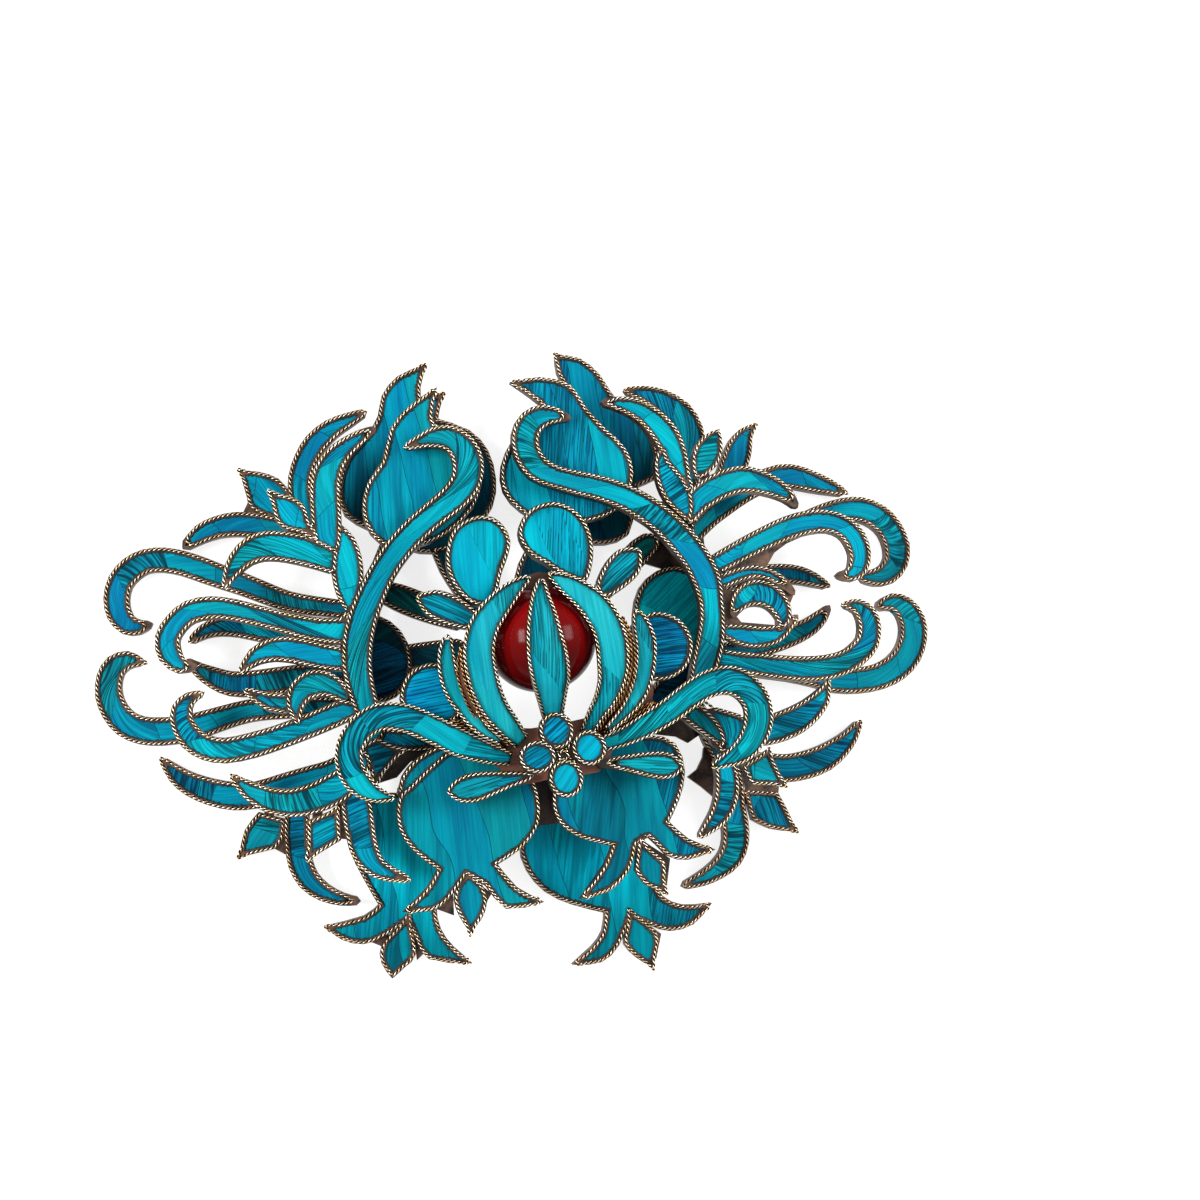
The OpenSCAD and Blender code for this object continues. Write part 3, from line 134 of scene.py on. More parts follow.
def grid_quads(rows, columns, wrap_rows=False, wrap_columns=False):
    """Faces of a grid of points numbered row by row; a wrapped side joins its end to its start."""
    r = np.arange(rows if wrap_rows else rows - 1)
    c = np.arange(columns if wrap_columns else columns - 1)
    r, c = np.meshgrid(r, c, indexing="ij")
    r1 = (r + 1) % rows
    c1 = (c + 1) % columns
    corners = [r * columns + c, r1 * columns + c, r1 * columns + c1, r * columns + c1]
    return np.stack(corners, axis=-1).reshape(-1, 4)


def joined(parts):
    """One (points, quads, extra) from several, with the faces renumbered."""
    points = np.concatenate([p[0] for p in parts])
    shifts = np.cumsum([0] + [len(p[0]) for p in parts[:-1]])
    quads = np.concatenate([p[1] + s for p, s in zip(parts, shifts)])
    extra = np.concatenate([p[2] for p in parts])
    return points, quads, extra


# Curves


def unit(v):
    """Vectors along the last axis scaled to length 1."""
    return v / np.maximum(np.linalg.norm(v, axis=-1, keepdims=True), 1e-9)


def spline_points(a, b, c, d, count):
    """Points from b to c on the curve through a, b, c and d, whose speed follows the square root
    of the distances between them, so that it never overshoots a short step."""
    steps = [np.sqrt(np.linalg.norm(q - p, axis=-1, keepdims=True)) + 1e-3
             for p, q in ((a, b), (b, c), (c, d))]
    t1, t2, t3 = np.cumsum(steps, axis=0)[:, :, None]
    a, b, c, d = a[:, None], b[:, None], c[:, None], d[:, None]
    t = t1 + (t2 - t1) * np.linspace(0, 1, count, endpoint=False)[None, :, None]
    ab = ((t1 - t) * a + t * b) / t1
    bc = ((t2 - t) * b + (t - t1) * c) / (t2 - t1)
    cd = ((t3 - t) * c + (t - t2) * d) / (t3 - t2)
    abc = ((t2 - t) * ab + t * bc) / t2
    bcd = ((t3 - t) * bc + (t - t1) * cd) / (t3 - t1)
    return (((t2 - t) * abc + (t - t1) * bcd) / (t2 - t1)).reshape(-1, b.shape[-1])


def smooth_rows(rows, count):
    """A smooth curve through the rows of a table, ending at the last row, with `count` points
    from one row to the next."""
    rows = np.asarray(rows, float)
    before = np.vstack([rows[:1] * 2 - rows[1:2], rows[:-2]])
    after = np.vstack([rows[2:], rows[-1:] * 2 - rows[-2:-1]])
    return np.vstack([spline_points(before, rows[:-1], rows[1:], after, count), rows[-1:]])


def turns(loop, span=1):
    """Angle in degrees by which a closed loop turns at each of its points, seen from the front,
    from `span` points before it to `span` points after it."""
    into = loop - np.roll(loop, span, axis=0)
    out = np.roll(loop, -span, axis=0) - loop
    cross = into[:, 0] * out[:, 1] - into[:, 1] * out[:, 0]
    dot = into[:, 0] * out[:, 0] + into[:, 1] * out[:, 1]
    return np.degrees(np.arctan2(cross, dot))


def sharp_points(loop):
    """Whether each point of a closed loop is a corner: it turns a lot between straight stretches,
    or more than the end of a round leaf does."""
    turn = np.abs(turns(loop))
    beside = np.maximum(np.roll(turn, 1), np.roll(turn, -1))
    lone = (turn > CORNER_TURN) & (beside < STRAIGHT_TURN)
    return lone | ((turn > ROUND_TURN) & (turn > beside))


def smooth_loop(loop):
    """A smooth closed curve through the points, which stays sharp at the corners."""
    sharp = sharp_points(loop)[:, None]
    ahead = np.roll(loop, -1, axis=0)
    before = np.where(sharp, loop * 2 - ahead, np.roll(loop, 1, axis=0))
    sharp_ahead = np.roll(sharp, -1, axis=0)
    after = np.where(sharp_ahead, ahead * 2 - loop, np.roll(loop, -2, axis=0))
    return spline_points(before, loop, ahead, after, BETWEEN)


def moved_out(loop, distance):
    """A closed loop moved outwards seen from the front, along the sum of the normals of the two
    sides that meet at a point, with long corners cut short."""
    into = unit((loop - np.roll(loop, 1, axis=0))[:, :2])
    out = unit((np.roll(loop, -1, axis=0) - loop)[:, :2])
    n1 = np.stack([into[:, 1], -into[:, 0]], axis=-1)
    n2 = np.stack([out[:, 1], -out[:, 0]], axis=-1)
    bend = np.maximum(1 + (n1 * n2).sum(axis=-1, keepdims=True), CORNER_LIMIT)
    result = loop.copy()
    result[:, :2] += distance * (n1 + n2) / bend
    return result


def distances(path):
    """Distance along a path from its start to each of its points."""
    steps = np.linalg.norm(np.diff(path, axis=0), axis=1)
    return np.concatenate([[0], np.cumsum(steps)])


def picked(path, at, wanted):
    """Points of a path at the wanted places, where `at` is the place of each point it has."""
    return np.stack([np.interp(wanted, at, path[:, k]) for k in range(path.shape[1])], axis=-1)


def evenly(path, count, closed=False):
    """`count` points spaced evenly along a path; a closed path doesn't repeat its first point."""
    if closed:
        path = np.vstack([path, path[:1]])
    at = distances(path)
    return picked(path, at, np.linspace(0, at[-1], count, endpoint=not closed))


def length_of(path, closed=False):
    """Length of a path, with the way back to its start if it is closed."""
    if closed:
        path = np.vstack([path, path[:1]])
    return np.linalg.norm(np.diff(path, axis=0), axis=1).sum()


def top_loops(node):
    """Outlines of a node's faces that look to the front, each one counter-clockwise, in mm."""
    mesh = nodes[node].data
    mesh.calc_loop_triangles()
    co = np.empty(len(mesh.vertices) * 3, np.float32)
    mesh.vertices.foreach_get("co", co)
    tri = np.empty(len(mesh.loop_triangles) * 3, np.int32)
    mesh.loop_triangles.foreach_get("vertices", tri)
    micrometres = np.round(co.reshape(-1, 3) * 1e6).astype(np.int64)
    places, same = np.unique(micrometres, axis=0, return_inverse=True)
    tri = same.reshape(-1)[tri].reshape(-1, 3)
    places = places / 1e3
    normal = np.cross(places[tri[:, 1]] - places[tri[:, 0]], places[tri[:, 2]] - places[tri[:, 0]])
    tri = tri[unit(normal)[:, 2] > 0.9]
    edges = np.vstack([tri[:, [0, 1]], tri[:, [1, 2]], tri[:, [2, 0]]])
    code = edges[:, 0] * len(places) + edges[:, 1]
    back = edges[:, 1] * len(places) + edges[:, 0]
    follows = dict(edges[~np.isin(back, code)].tolist())
    loops = []
    while follows:
        start, at = follows.popitem()
        loop = [start]
        while at != start:
            loop.append(at)
            at = follows.pop(at)
        loops.append(places[loop])
    return loops


# Twisted wires


def rope(path, closed):
    """Two round strands twisted about a path, like the middle stroke of an S. A strand's middle is
    the path plus a circle that turns once a pitch, and its skin is a circle round that. The third
    value is how far a point stands out from the path, from 0 to 1."""
    reach = length_of(path, closed)
    turns_made = max(round(reach / WIRE_PITCH), 1)
    count = turns_made * WIRE_STEPS + (0 if closed else 1)
    centre = evenly(path, count, closed)
    if closed:
        ahead = np.roll(centre, -1, axis=0) - np.roll(centre, 1, axis=0)
    else:
        ahead = np.gradient(centre, axis=0)
    ahead = unit(ahead)
    up = unit(np.array([0.0, 0.0, 1.0]) - ahead[:, 2:3] * ahead)
    side = np.cross(ahead, up)
    twist = -2 * np.pi * np.arange(count) / WIRE_STEPS
    ring = 2 * np.pi * np.arange(WIRE_SIDES) / WIRE_SIDES
    girth = np.full((count, 1), STRAND_R)
    if not closed:
        girth[[0, -1]] = WIRE_END_R
    parts = []
    for strand in (0, np.pi):
        x = STRAND_OUT * np.cos(twist + strand)[:, None] + np.cos(ring)[None, :] * girth
        y = STRAND_OUT * np.sin(twist + strand)[:, None] + np.sin(ring)[None, :] * girth
        points = centre[:, None] + x[..., None] * up[:, None] + y[..., None] * side[:, None]
        quads = grid_quads(count, WIRE_SIDES, wrap_rows=closed, wrap_columns=True)[:, ::-1]
        out = np.hypot(x, y) / (STRAND_OUT + STRAND_R)
        parts.append((points.reshape(-1, 3), quads, out.ravel()))
    return joined(parts)


def clear_runs(path, laid):
    """The stretches of a closed path that are clear of the points already laid, each with whether
    it is the whole closed path."""
    if not len(laid):
        return [(path, True)]
    gaps = np.linalg.norm(path[:, None] - laid[None], axis=-1).min(axis=1)
    free = gaps > WIRE_CLEAR
    if free.all():
        return [(path, True)]
    if not free.any():
        return []
    first = int(np.argmin(free))
    path = np.roll(path, -first, axis=0)
    free = np.roll(free, -first)
    edges = np.flatnonzero(np.diff(np.concatenate([[0], free.astype(int), [0]])))
    return [(path[a:b], False) for a, b in edges.reshape(-1, 2) if b - a > RUN_LEAST]


def sheet_corners(sheets):
    """Outward corners of the sheets' outlines, where the tips of their leaves end."""
    corners = [np.zeros((0, 3))]
    for sheet in sheets:
        for loop in top_loops(sheet):
            corners.append(loop[turns(loop) > SHEET_TURN])
    return np.concatenate(corners)


def tips_reaching(outline, corners):
    """A copy of an inlay's outline whose narrow ends run on nearly to the tip of their sheet. A
    thin tip has no inlay, and its two wires run on side by side to the end."""
    outline = outline.copy()
    turn = turns(outline, TIP_SPAN)
    beside = np.arange(-TIP_SPAN, TIP_SPAN + 1)
    share = 1 - np.abs(beside) / TIP_SPAN
    for at in np.flatnonzero(turn > TIP_TURN):
        here = (at + beside) % len(outline)
        if turn[at] < turn[here].max():
            continue
        start, end = outline[here[0]], outline[here[-1]]
        out = unit(2 * outline[at] - start - end)[:2]
        reach = corners[:, :2] - outline[at, :2]
        far = np.linalg.norm(reach, axis=1)
        ahead = (reach @ out) / np.maximum(far, 1e-6)
        good = (ahead > TIP_AHEAD) & (far > TIP_GAP) & (far < TIP_REACH)
        if good.any():
            best = np.argmin(np.where(good, far, np.inf))
            tip = outline[at].copy()
            tip[:2] += reach[best] * (1 - TIP_GAP / far[best])
            sides = np.where(beside[:, None] < 0, start, end)
            outline[here] = sides + (tip - sides) * share[:, None]
    return outline


def nearest(path, outline):
    """Distance from each point of a path to the nearest point of an outline, from the front."""
    return np.linalg.norm(path[:, None, :2] - outline[None, :, :2], axis=-1).min(axis=1)


def rim_wires(name, inlay, sheets, material, slot):
    """Twisted wire round every cell of an inlay node. Where two cells come so near each other
    that their wires would meet, one wire serves both."""
    corners = sheet_corners(sheets)
    parts = []
    laid = np.zeros((0, 3))
    for loop in top_loops(inlay):
        outline = smooth_loop(loop)
        count = int(length_of(outline, True) / TIP_STEP)
        outline = tips_reaching(evenly(outline, count, closed=True), corners)
        path = moved_out(outline, RIM_OFFSET)
        path = path[nearest(path, outline) > RIM_OFFSET * RIM_KEPT]
        path[:, 2] += RIM_RISE
        path = evenly(path, max(int(length_of(path, True) / WIRE_STEP), 12), closed=True)
        for run, closed in clear_runs(path, laid):
            if length_of(run, closed) > WIRE_LEAST:
                parts.append(rope(run, closed))
        laid = np.vstack([laid, path])
    return add_parts(name, parts, material, slot, "groove")


# Feather skins


SKIN_ACROSS = 7  # points across a leaf
SKIN_STEP = 0.4  # spacing of the rows along it
SKIN_LIFT = 0.02  # height of the skin over the inlay
SKIN_SPREAD = 0.12  # how far it runs out under the wire
SKIN_THICK = 0.1
SKIN_ROUND = 240  # points round a leaf's outline
SKIN_SPAN = 6  # points on each side over which its turn is measured
SKIN_TIP_TURN = 70  # degrees that it turns at the tip of a leaf that has one
SKIN_END = 0.004  # share of the length left out at each end
SKIN_LEAN = math.radians(35)  # direction from the middle of a round leaf to its first row
LEAF_SHIFT = (60, 3.7)  # how far the feather's pattern moves on from leaf to leaf
PETAL_SHIFT = (60, 5.3)  # and from petal to petal


def skin_uv(middle, across, number, shift):
    """Own coordinates of a skin in mm: the distance along its middle line and the one across it,
    both moved on by the number of the leaf."""
    along = distances(middle)[:, None] + np.zeros((1, across.shape[1]))
    uv = np.stack([along + shift[0] * number, across + shift[1] * number], axis=-1)
    return uv.reshape(-1, 2)


def leaf_skin(loop, number):
    """A surface ruled between the two sides of a leaf, from its tip to half way round: the point
    at (u, v) is (1 - v) left(u) + v right(u). Its own coordinates are the distance along the leaf
    and across it in mm. A round leaf starts where it leans to."""
    outline = evenly(moved_out(smooth_loop(loop), SKIN_SPREAD), SKIN_ROUND, closed=True)
    turn = turns(outline, SKIN_SPAN)
    tip = int(np.argmax(turn))
    if turn[tip] < SKIN_TIP_TURN:
        leaning = outline[:, 0] * math.cos(SKIN_LEAN) + outline[:, 1] * math.sin(SKIN_LEAN)
        tip = int(np.argmax(leaning))
    outline = np.roll(outline, -tip, axis=0)
    half = len(outline) // 2
    left = outline[:half + 1]
    right = np.vstack([outline[:1], outline[:half - 1:-1]])
    middle = (left + right) / 2
    rows = max(int(length_of(middle) / SKIN_STEP), 8)
    place = np.linspace(SKIN_END, 1 - SKIN_END, rows) * half
    left = picked(left, np.arange(half + 1), place)
    right = picked(right, np.arange(half + 1), place)
    v = np.linspace(0, 1, SKIN_ACROSS)[None, :, None]
    points = (1 - v) * left[:, None] + v * right[:, None]
    points[..., 2] += SKIN_LIFT
    width = np.linalg.norm(right - left, axis=-1)[:, None]
    across = (v[..., 0] - 0.5) * width
    uv = skin_uv((left + right) / 2, across, number, LEAF_SHIFT)
    return points.reshape(-1, 3), grid_quads(rows, SKIN_ACROSS), uv


def leaf_skins(name, inlays, material, slot, chosen):
    """Feather skins on the cells of the inlay nodes whose middles are chosen."""
    parts = []
    for inlay in inlays:
        for loop in top_loops(inlay):
            if chosen(loop.mean(axis=0)):
                parts.append(leaf_skin(loop, len(parts)))
    return add_parts(name, parts, material, slot, "uv", SKIN_THICK)


FRINGE_STEP = 0.11  # spacing of the points of a ribbon
FRINGE_LIFT = 0.05  # height of the ribbon over the inlay
FRINGE_THICK = 0.03
FRINGE_OUT = 0.18  # how far it runs out under the wire
FRINGE_KEPT = 0.6  # share of its depth that it keeps from the edge, or it is cut off
FRINGE_LEAST = 0.02  # how far it reaches inwards everywhere
FRINGE_MORE = 0.14  # and how much farther in the deepest places


def fringe_depths(count, number):
    """How far the dark edge of a feather reaches inwards at each of its points: the square of a
    random number makes it shallow in most places and deep in a few."""
    return FRINGE_MORE * np.random.default_rng(number).random(count) ** 2 + FRINGE_LEAST


def dark_edges(name, inlay, material, slot):
    """Ribbons round the cells, from under the wire to a ragged line on the feather: partly the
    dark glue where the barbs end, partly painted shade beside the wire."""
    parts = []
    for loop in top_loops(inlay):
        outline = smooth_loop(loop)
        count = max(int(length_of(outline, True) / FRINGE_STEP), 12)
        outline = evenly(outline, count, closed=True)
        depth = fringe_depths(count, len(parts))[:, None]
        outer = moved_out(outline, FRINGE_OUT)
        inner = moved_out(outline, -depth)
        near = nearest(inner, outline)
        inner = np.where(near[:, None] < FRINGE_KEPT * depth, outline, inner)
        points = np.stack([outer, inner], axis=1)
        points[..., 2] += FRINGE_LIFT
        quads = grid_quads(count, 2, wrap_rows=True)
        parts.append((points.reshape(-1, 3), quads, np.zeros(2 * count)))
    return add_parts(name, parts, material, slot, thick=FRINGE_THICK)


# Petals of the flower, from the foot to the tip: x, y, height of the floor, half width

PETALS = {
    "wide_petal_left": [
        (-1.05, -7.8, 10.3, 0.6), (-2.3, -6.1, 11.1, 0.88), (-3.35, -4.6, 12, 1.03),
        (-4.05, -2.85, 12.8, 1.15), (-4.4, -1, 13.3, 1.19), (-4.4, 0.7, 13.7, 1.19),
        (-3.8, 2.6, 13.9, 1.13), (-2.4, 4.3, 14.1, 0.95), (-0.8, 5.7, 14.2, 0.6),
        (0.5, 6.5, 14.2, 0.15)],
    "wide_petal_right": [
        (4.95, -7.6, 10.3, 0.45), (5.9, -6, 11.1, 0.6), (6.65, -4.9, 12, 0.78),
        (7.3, -3.45, 12.8, 1), (7.6, -1.8, 13.3, 1.2), (7.6, 0, 13.7, 1.25),
        (7.25, 1.75, 13.9, 1.23), (6.4, 3.35, 14.1, 1.18), (5.25, 4.65, 14.2, 0.98),
        (3.85, 5.8, 14.2, 0.68), (2.7, 6.6, 14.2, 0.15)],
    "narrow_petal_left": [
        (-3.05, -7.6, 11.2, 0.15), (-4.5, -6.45, 11.55, 0.42), (-5.25, -5.5, 11.6, 0.55),
        (-5.8, -4.55, 11.7, 0.62), (-6.75, -2.85, 11.95, 0.68), (-7.2, -1, 12.2, 0.67),
        (-7.2, 0.8, 12.4, 0.52), (-7, 1.9, 12.5, 0.28)],
    "narrow_petal_right": [
        (6.75, -7.6, 11.2, 0.15), (7.7, -6.8, 11.4, 0.28), (8.65, -5.95, 11.5, 0.42),
        (9.65, -4.8, 11.6, 0.6), (10.4, -3.2, 11.9, 0.68), (10.8, -1.5, 12.2, 0.72),
        (10.9, 0.1, 12.4, 0.74), (10.65, 1.6, 12.5, 0.58), (10.45, 2.5, 12.5, 0.3)],
    "centre_petal": [
        (2.1, -6.6, 10.7, 0.6), (1.9, -5.55, 11.5, 0.81), (1.8, -4.3, 12.7, 1.1),
        (1.65, -2.7, 14.4, 1.5), (1.4, -0.8, 15.5, 1.6), (1.25, 1.2, 15.9, 1.37),
        (1.3, 3.2, 15.7, 1.02), (1.4, 4.8, 15.2, 0.6), (1.65, 6, 14.8, 0.2)],
    "recurved_petal_left": [
        (-2.2, -9.2, 10.25, 0.4), (-4.1, -8.5, 10.5, 0.75), (-6.5, -7.4, 10.9, 1.05),
        (-9, -5.9, 11.3, 1.05), (-11.5, -4.6, 11.5, 1.05), (-13.8, -4.3, 11.4, 1),
        (-15.6, -5.3, 11.1, 1), (-16.6, -6.9, 10.8, 1), (-16.6, -8.7, 10.5, 1),
        (-15.8, -10.1, 10.3, 0.9), (-14.5, -11.1, 10.2, 0.5), (-13.2, -11.5, 10.1, 0.1)],
    "recurved_petal_right": [
        (5.8, -8.85, 10.3, 0.45), (8.2, -8.3, 10.5, 0.65), (10.3, -7.5, 10.9, 0.85),
        (12.8, -6.3, 11.2, 0.95), (15, -5, 11.4, 1), (16.8, -4.3, 11.5, 1.05),
        (18.7, -4.3, 11.4, 1.1), (20.1, -5.2, 11.1, 1.1), (20.9, -6.6, 10.8, 1.1),
        (20.9, -8.2, 10.5, 1.1), (20.2, -9.7, 10.3, 1), (19, -10.8, 10.2, 0.8),
        (17.6, -11.4, 10.1, 0.45), (16.4, -11.8, 10.05, 0.15)],
}
PETAL_RIM = 0.3  # height of the rim over the feather's floor
PETAL_STEP = 0.3  # spacing of the rows along a petal
PETAL_ACROSS = 11  # points across it
PETAL_LIFT = 0.03  # height of the feather over the floor at its edges
PETAL_CROWN = 0.14  # how much higher it is along the middle of a petal 2 mm wide
PETAL_SPREAD = 0.02  # how far it runs out under the wire
PETAL_WIRE = (0.1, 0.08)  # from the feather out, and from the rim up, to the wire's middle
EDGE_OUT = 0.12  # how far the dark edge runs out under the wire
EDGE_LEAST = 0.07  # how much farther it reaches inwards than on the flat leaves
EDGE_LIFT = 0.06  # its height over the floor
EDGE_SHARE = 0.7  # greatest share of the half width that it covers
EDGE_SEED = 50  # its random numbers start after the leaves' ones


def petal_frame(rows):
    """Middle line, half width and sideways direction of a petal, at even steps."""
    line = smooth_rows(rows, 10)
    line = evenly(line, max(int(length_of(line[:, :3]) / PETAL_STEP), 12))
    middle = line[:, :3] + CENTRE_SHIFT
    ahead = unit(np.gradient(middle[:, :2], axis=0))
    side = np.stack([ahead[:, 1], -ahead[:, 0], np.zeros(len(ahead))], axis=-1)
    return middle, line[:, 3], side


def petal_skin(rows, number):
    """The feather floor of a petal: at (u, v) the middle line at u plus v half widths sideways,
    raised a little along the middle."""
    middle, half, side = petal_frame(rows)
    v = np.linspace(-1, 1, PETAL_ACROSS)
    across = v[None, :] * (half[:, None] + PETAL_SPREAD)
    crown = PETAL_CROWN * np.minimum(half, 1)[:, None] * (1 - v[None, :] ** 2)
    points = middle[:, None] + across[..., None] * side[:, None]
    points[..., 2] += PETAL_LIFT + crown
    quads = grid_quads(len(middle), PETAL_ACROSS)[:, ::-1]
    return points.reshape(-1, 3), quads, skin_uv(middle, across, number, PETAL_SHIFT)


def petal_dark_edges(name, material):
    """The same ragged dark ribbons, partly glue and partly painted shade, along both sides of the
    petals' feather.
    """
    parts = []
    for number, rows in enumerate(PETALS.values()):
        middle, half, side = petal_frame(rows)
        for way in (-1, 1):
            depth = EDGE_LEAST + fringe_depths(len(half), EDGE_SEED + 2 * number + way)
            depth = np.minimum(depth, EDGE_SHARE * half)
            across = way * np.stack([half + EDGE_OUT, half - depth], axis=1)
            points = middle[:, None] + across[..., None] * side[:, None]
            bow = 1 - np.minimum((across / half[:, None]) ** 2, 1)
            points[..., 2] += EDGE_LIFT + PETAL_CROWN * np.minimum(half, 1)[:, None] * bow
            quads = grid_quads(len(half), 2)
            if way > 0:
                quads = quads[:, ::-1]
            parts.append((points.reshape(-1, 3), quads, np.zeros(2 * len(half))))
    return add_parts(name, parts, material, "turquoise_feather", thick=FRINGE_THICK)


def petal_edge(rows, out, rise):
    """Path up one edge of a petal, round its tip and down the other edge."""
    middle, half, side = petal_frame(rows)
    reach = (half + out)[:, None]
    tip = middle[-1:] + unit(middle[-1:] - middle[-2:-1]) * (half[-1] + out)
    path = np.vstack([middle - side * reach, tip, (middle + side * reach)[::-1]])
    path[:, 2] += rise
    return path


def petal_wires(name, material):
    """Wire on both edges of every petal."""
    out, rise = PETAL_WIRE
    parts = [rope(petal_edge(rows, out, PETAL_RIM + rise), closed=False)
             for rows in PETALS.values()]
    return add_parts(name, parts, material, "gilt", "groove")


# Brown strips beside the petals, each with a wire near either edge: petal, side seen from its
# foot, left for -1 and right for 1, distance of the outer edge from the feather, its height over
# the floor, shares of the petal's length where the strip starts and ends
SIDE_STRIPS = [
    ("wide_petal_left", -1, 0.85, -0.5, 0.03, 0.58),
    ("wide_petal_right", 1, 0.85, -0.5, 0.03, 0.63),
    ("recurved_petal_left", 1, 0.75, 0.1, 0.05, 0.3),
    ("recurved_petal_right", -1, 0.75, 0.1, 0.03, 0.27),
]
STRIP_INNER = 0.3  # distance of a strip's inner edge from the feather
STRIP_TOP = 0.2  # height of the wire near that edge over the petal's floor
STRIP_SUNK = 0.12  # how far the strip lies below the middles of its wires
STRIP_THICK = 0.08
STRIP_WIRE = 0.1  # from the inner edge to the inner wire
STRIP_TAPER = 5  # a strip narrows over the last fifth of its length


def strip_edges(strip, inset, drop):
    """Inner edge of a strip, and the way from it to the outer edge, which shrinks to nothing at
    the upper end. The inner edge is moved out by `inset`, and both are lowered by `drop`."""
    petal, which, out, rise, start, end = strip
    middle, half, side = petal_frame(PETALS[petal])
    share = np.linspace(0, 1, len(middle))
    edges = []
    for away, height in ((STRIP_INNER + inset, STRIP_TOP), (out, rise)):
        edge = middle + which * side * (half + away)[:, None]
        edge[:, 2] += height - drop
        edges.append(edge[(share >= start) & (share <= end)])
    inner, outer = edges
    narrow = np.minimum(np.linspace(1, 0, len(inner)) * STRIP_TAPER, 1)[:, None]
    return inner, narrow * (outer - inner)


def side_strips(name, material):
    """Strips ruled between their inner and outer edges."""
    v = np.linspace(0, 1, 4)[None, :, None]
    parts = []
    for strip in SIDE_STRIPS:
        inner, way = strip_edges(strip, 0.0, STRIP_SUNK)
        points = inner[:, None] + v * way[:, None]
        quads = grid_quads(len(inner), 4)
        if strip[1] > 0:
            quads = quads[:, ::-1]
        parts.append((points.reshape(-1, 3), quads, np.zeros(points.size // 3)))
    return add_parts(name, parts, material, "gilt", thick=STRIP_THICK)


def side_wires(name, material):
    """Two wires on each strip, which meet at its upper end."""
    parts = []
    for strip in SIDE_STRIPS:
        inner, way = strip_edges(strip, STRIP_WIRE, 0.0)
        parts += [rope(inner, closed=False), rope(inner + way, closed=False)]
    return add_parts(name, parts, material, "gilt", "groove")


KNOT_MIDDLE = np.array([2.3, -9.45, 12.58]) + CENTRE_SHIFT
KNOT_R = 0.42  # radius of the ring
KNOT_ARMS = (55, 137, 222, 322)  # directions of the short wires between the lobes, degrees
KNOT_REACH = (0.5, 1.5)  # where such a wire starts and ends
KNOT_DROP = 0.04  # how much lower it lies than the ring


def blossom_knot(name, material):
    """Small ring of wire in the middle of the blossom, with a short wire between each two of its
    lobes."""
    angle = np.linspace(0, 2 * np.pi, 40, endpoint=False)
    ring = np.stack([np.cos(angle), np.sin(angle), 0 * angle], axis=-1)
    parts = [rope(KNOT_MIDDLE + KNOT_R * ring, closed=True)]
    for turn in np.radians(KNOT_ARMS):
        out = np.array([math.cos(turn), math.sin(turn), 0.0])
        reach = np.linspace(*KNOT_REACH, 12)[:, None]
        parts.append(rope(KNOT_MIDDLE + out * reach - [0, 0, KNOT_DROP], closed=False))
    return add_parts(name, parts, material, "gilt", "groove")


def petal_skins(name, petals, material):
    """Feather floors of the named petals, in one piece."""
    parts = [petal_skin(PETALS[petal], k) for k, petal in enumerate(petals)]
    return add_parts(name, parts, material, "turquoise_feather", "uv", SKIN_THICK)


# Bead


HOLE_R = 0.6  # half the width of the hole that the wire goes through
BEAD_FLAT = 0.95  # height of the bead along the wire as a share of its width


def bead_skin(name, material):
    """A ball drilled along Y: a half circle from one rim of the hole to the other, turned about
    the wire, and back through the hole. It is a little flatter along the wire."""
    low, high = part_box("bead")
    low, high = np.array(low) / MM, np.array(high) / MM
    centre = (low + high) / 2
    radius = (high[0] - low[0]) / 2
    start = math.asin(HOLE_R / radius)
    angle = np.linspace(start, math.pi - start, 72)
    y = BEAD_FLAT * radius * np.cos(angle)
    r = radius * np.sin(angle)
    turn = np.linspace(0, 2 * math.pi, 128, endpoint=False)
    points = np.stack([
        centre[0] + r[:, None] * np.cos(turn)[None],
        centre[1] + y[:, None] + np.zeros((1, len(turn))),
        centre[2] + r[:, None] * np.sin(turn)[None]], axis=-1)
    quads = grid_quads(len(r), len(turn), wrap_rows=True, wrap_columns=True)[:, ::-1]
    piece = add_mesh(name, points.reshape(-1, 3), quads, material, "red_stone")
    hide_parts("bead")
    return piece


# Materials


class Tree:
    """Short ways to add and join the nodes of a material."""

    def __init__(self, name):
        self.material = bpy.data.materials.new(name)
        self.material.use_nodes = True
        self.nodes = self.material.node_tree.nodes
        self.links = self.material.node_tree.links
        self.shader = self.nodes["Principled BSDF"]

    def put(self, socket, value):
        if hasattr(value, "is_output"):
            self.links.new(value, socket)
        else:
            socket.default_value = value

    def add(self, kind, inputs=(), **settings):
        node = self.nodes.new(kind)
        for key, value in settings.items():
            setattr(node, key, value)
        for key, value in dict(inputs).items():
            self.put(node.inputs[key], value)
        return node

    def math(self, operation, a, b=0.0, clamp=False):
        node = self.add("ShaderNodeMath", {0: a, 1: b}, operation=operation, use_clamp=clamp)
        return node.outputs[0]

    def scaled(self, vector, scale, move=(0, 0, 0)):
        node = self.add("ShaderNodeMapping", {"Vector": vector, "Scale": scale, "Location": move})
        return node.outputs[0]

    def noise(self, vector, detail=2.0, rough=0.5):
        inputs = {"Vector": vector, "Scale": 1.0, "Detail": detail, "Roughness": rough}
        return self.add("ShaderNodeTexNoise", inputs).outputs["Fac"]

    def between(self, value, low, high, to_low=0.0, to_high=1.0):
        inputs = {"Value": value, "From Min": low, "From Max": high, "To Min": to_low,
                  "To Max": to_high}
        return self.add("ShaderNodeMapRange", inputs).outputs[0]

    def mix(self, factor, a, b, blend="MIX"):
        node = self.add("ShaderNodeMix", data_type="RGBA", blend_type=blend)
        self.put(node.inputs[0], factor)
        self.put(node.inputs[6], a)
        self.put(node.inputs[7], b)
        return node.outputs[2]


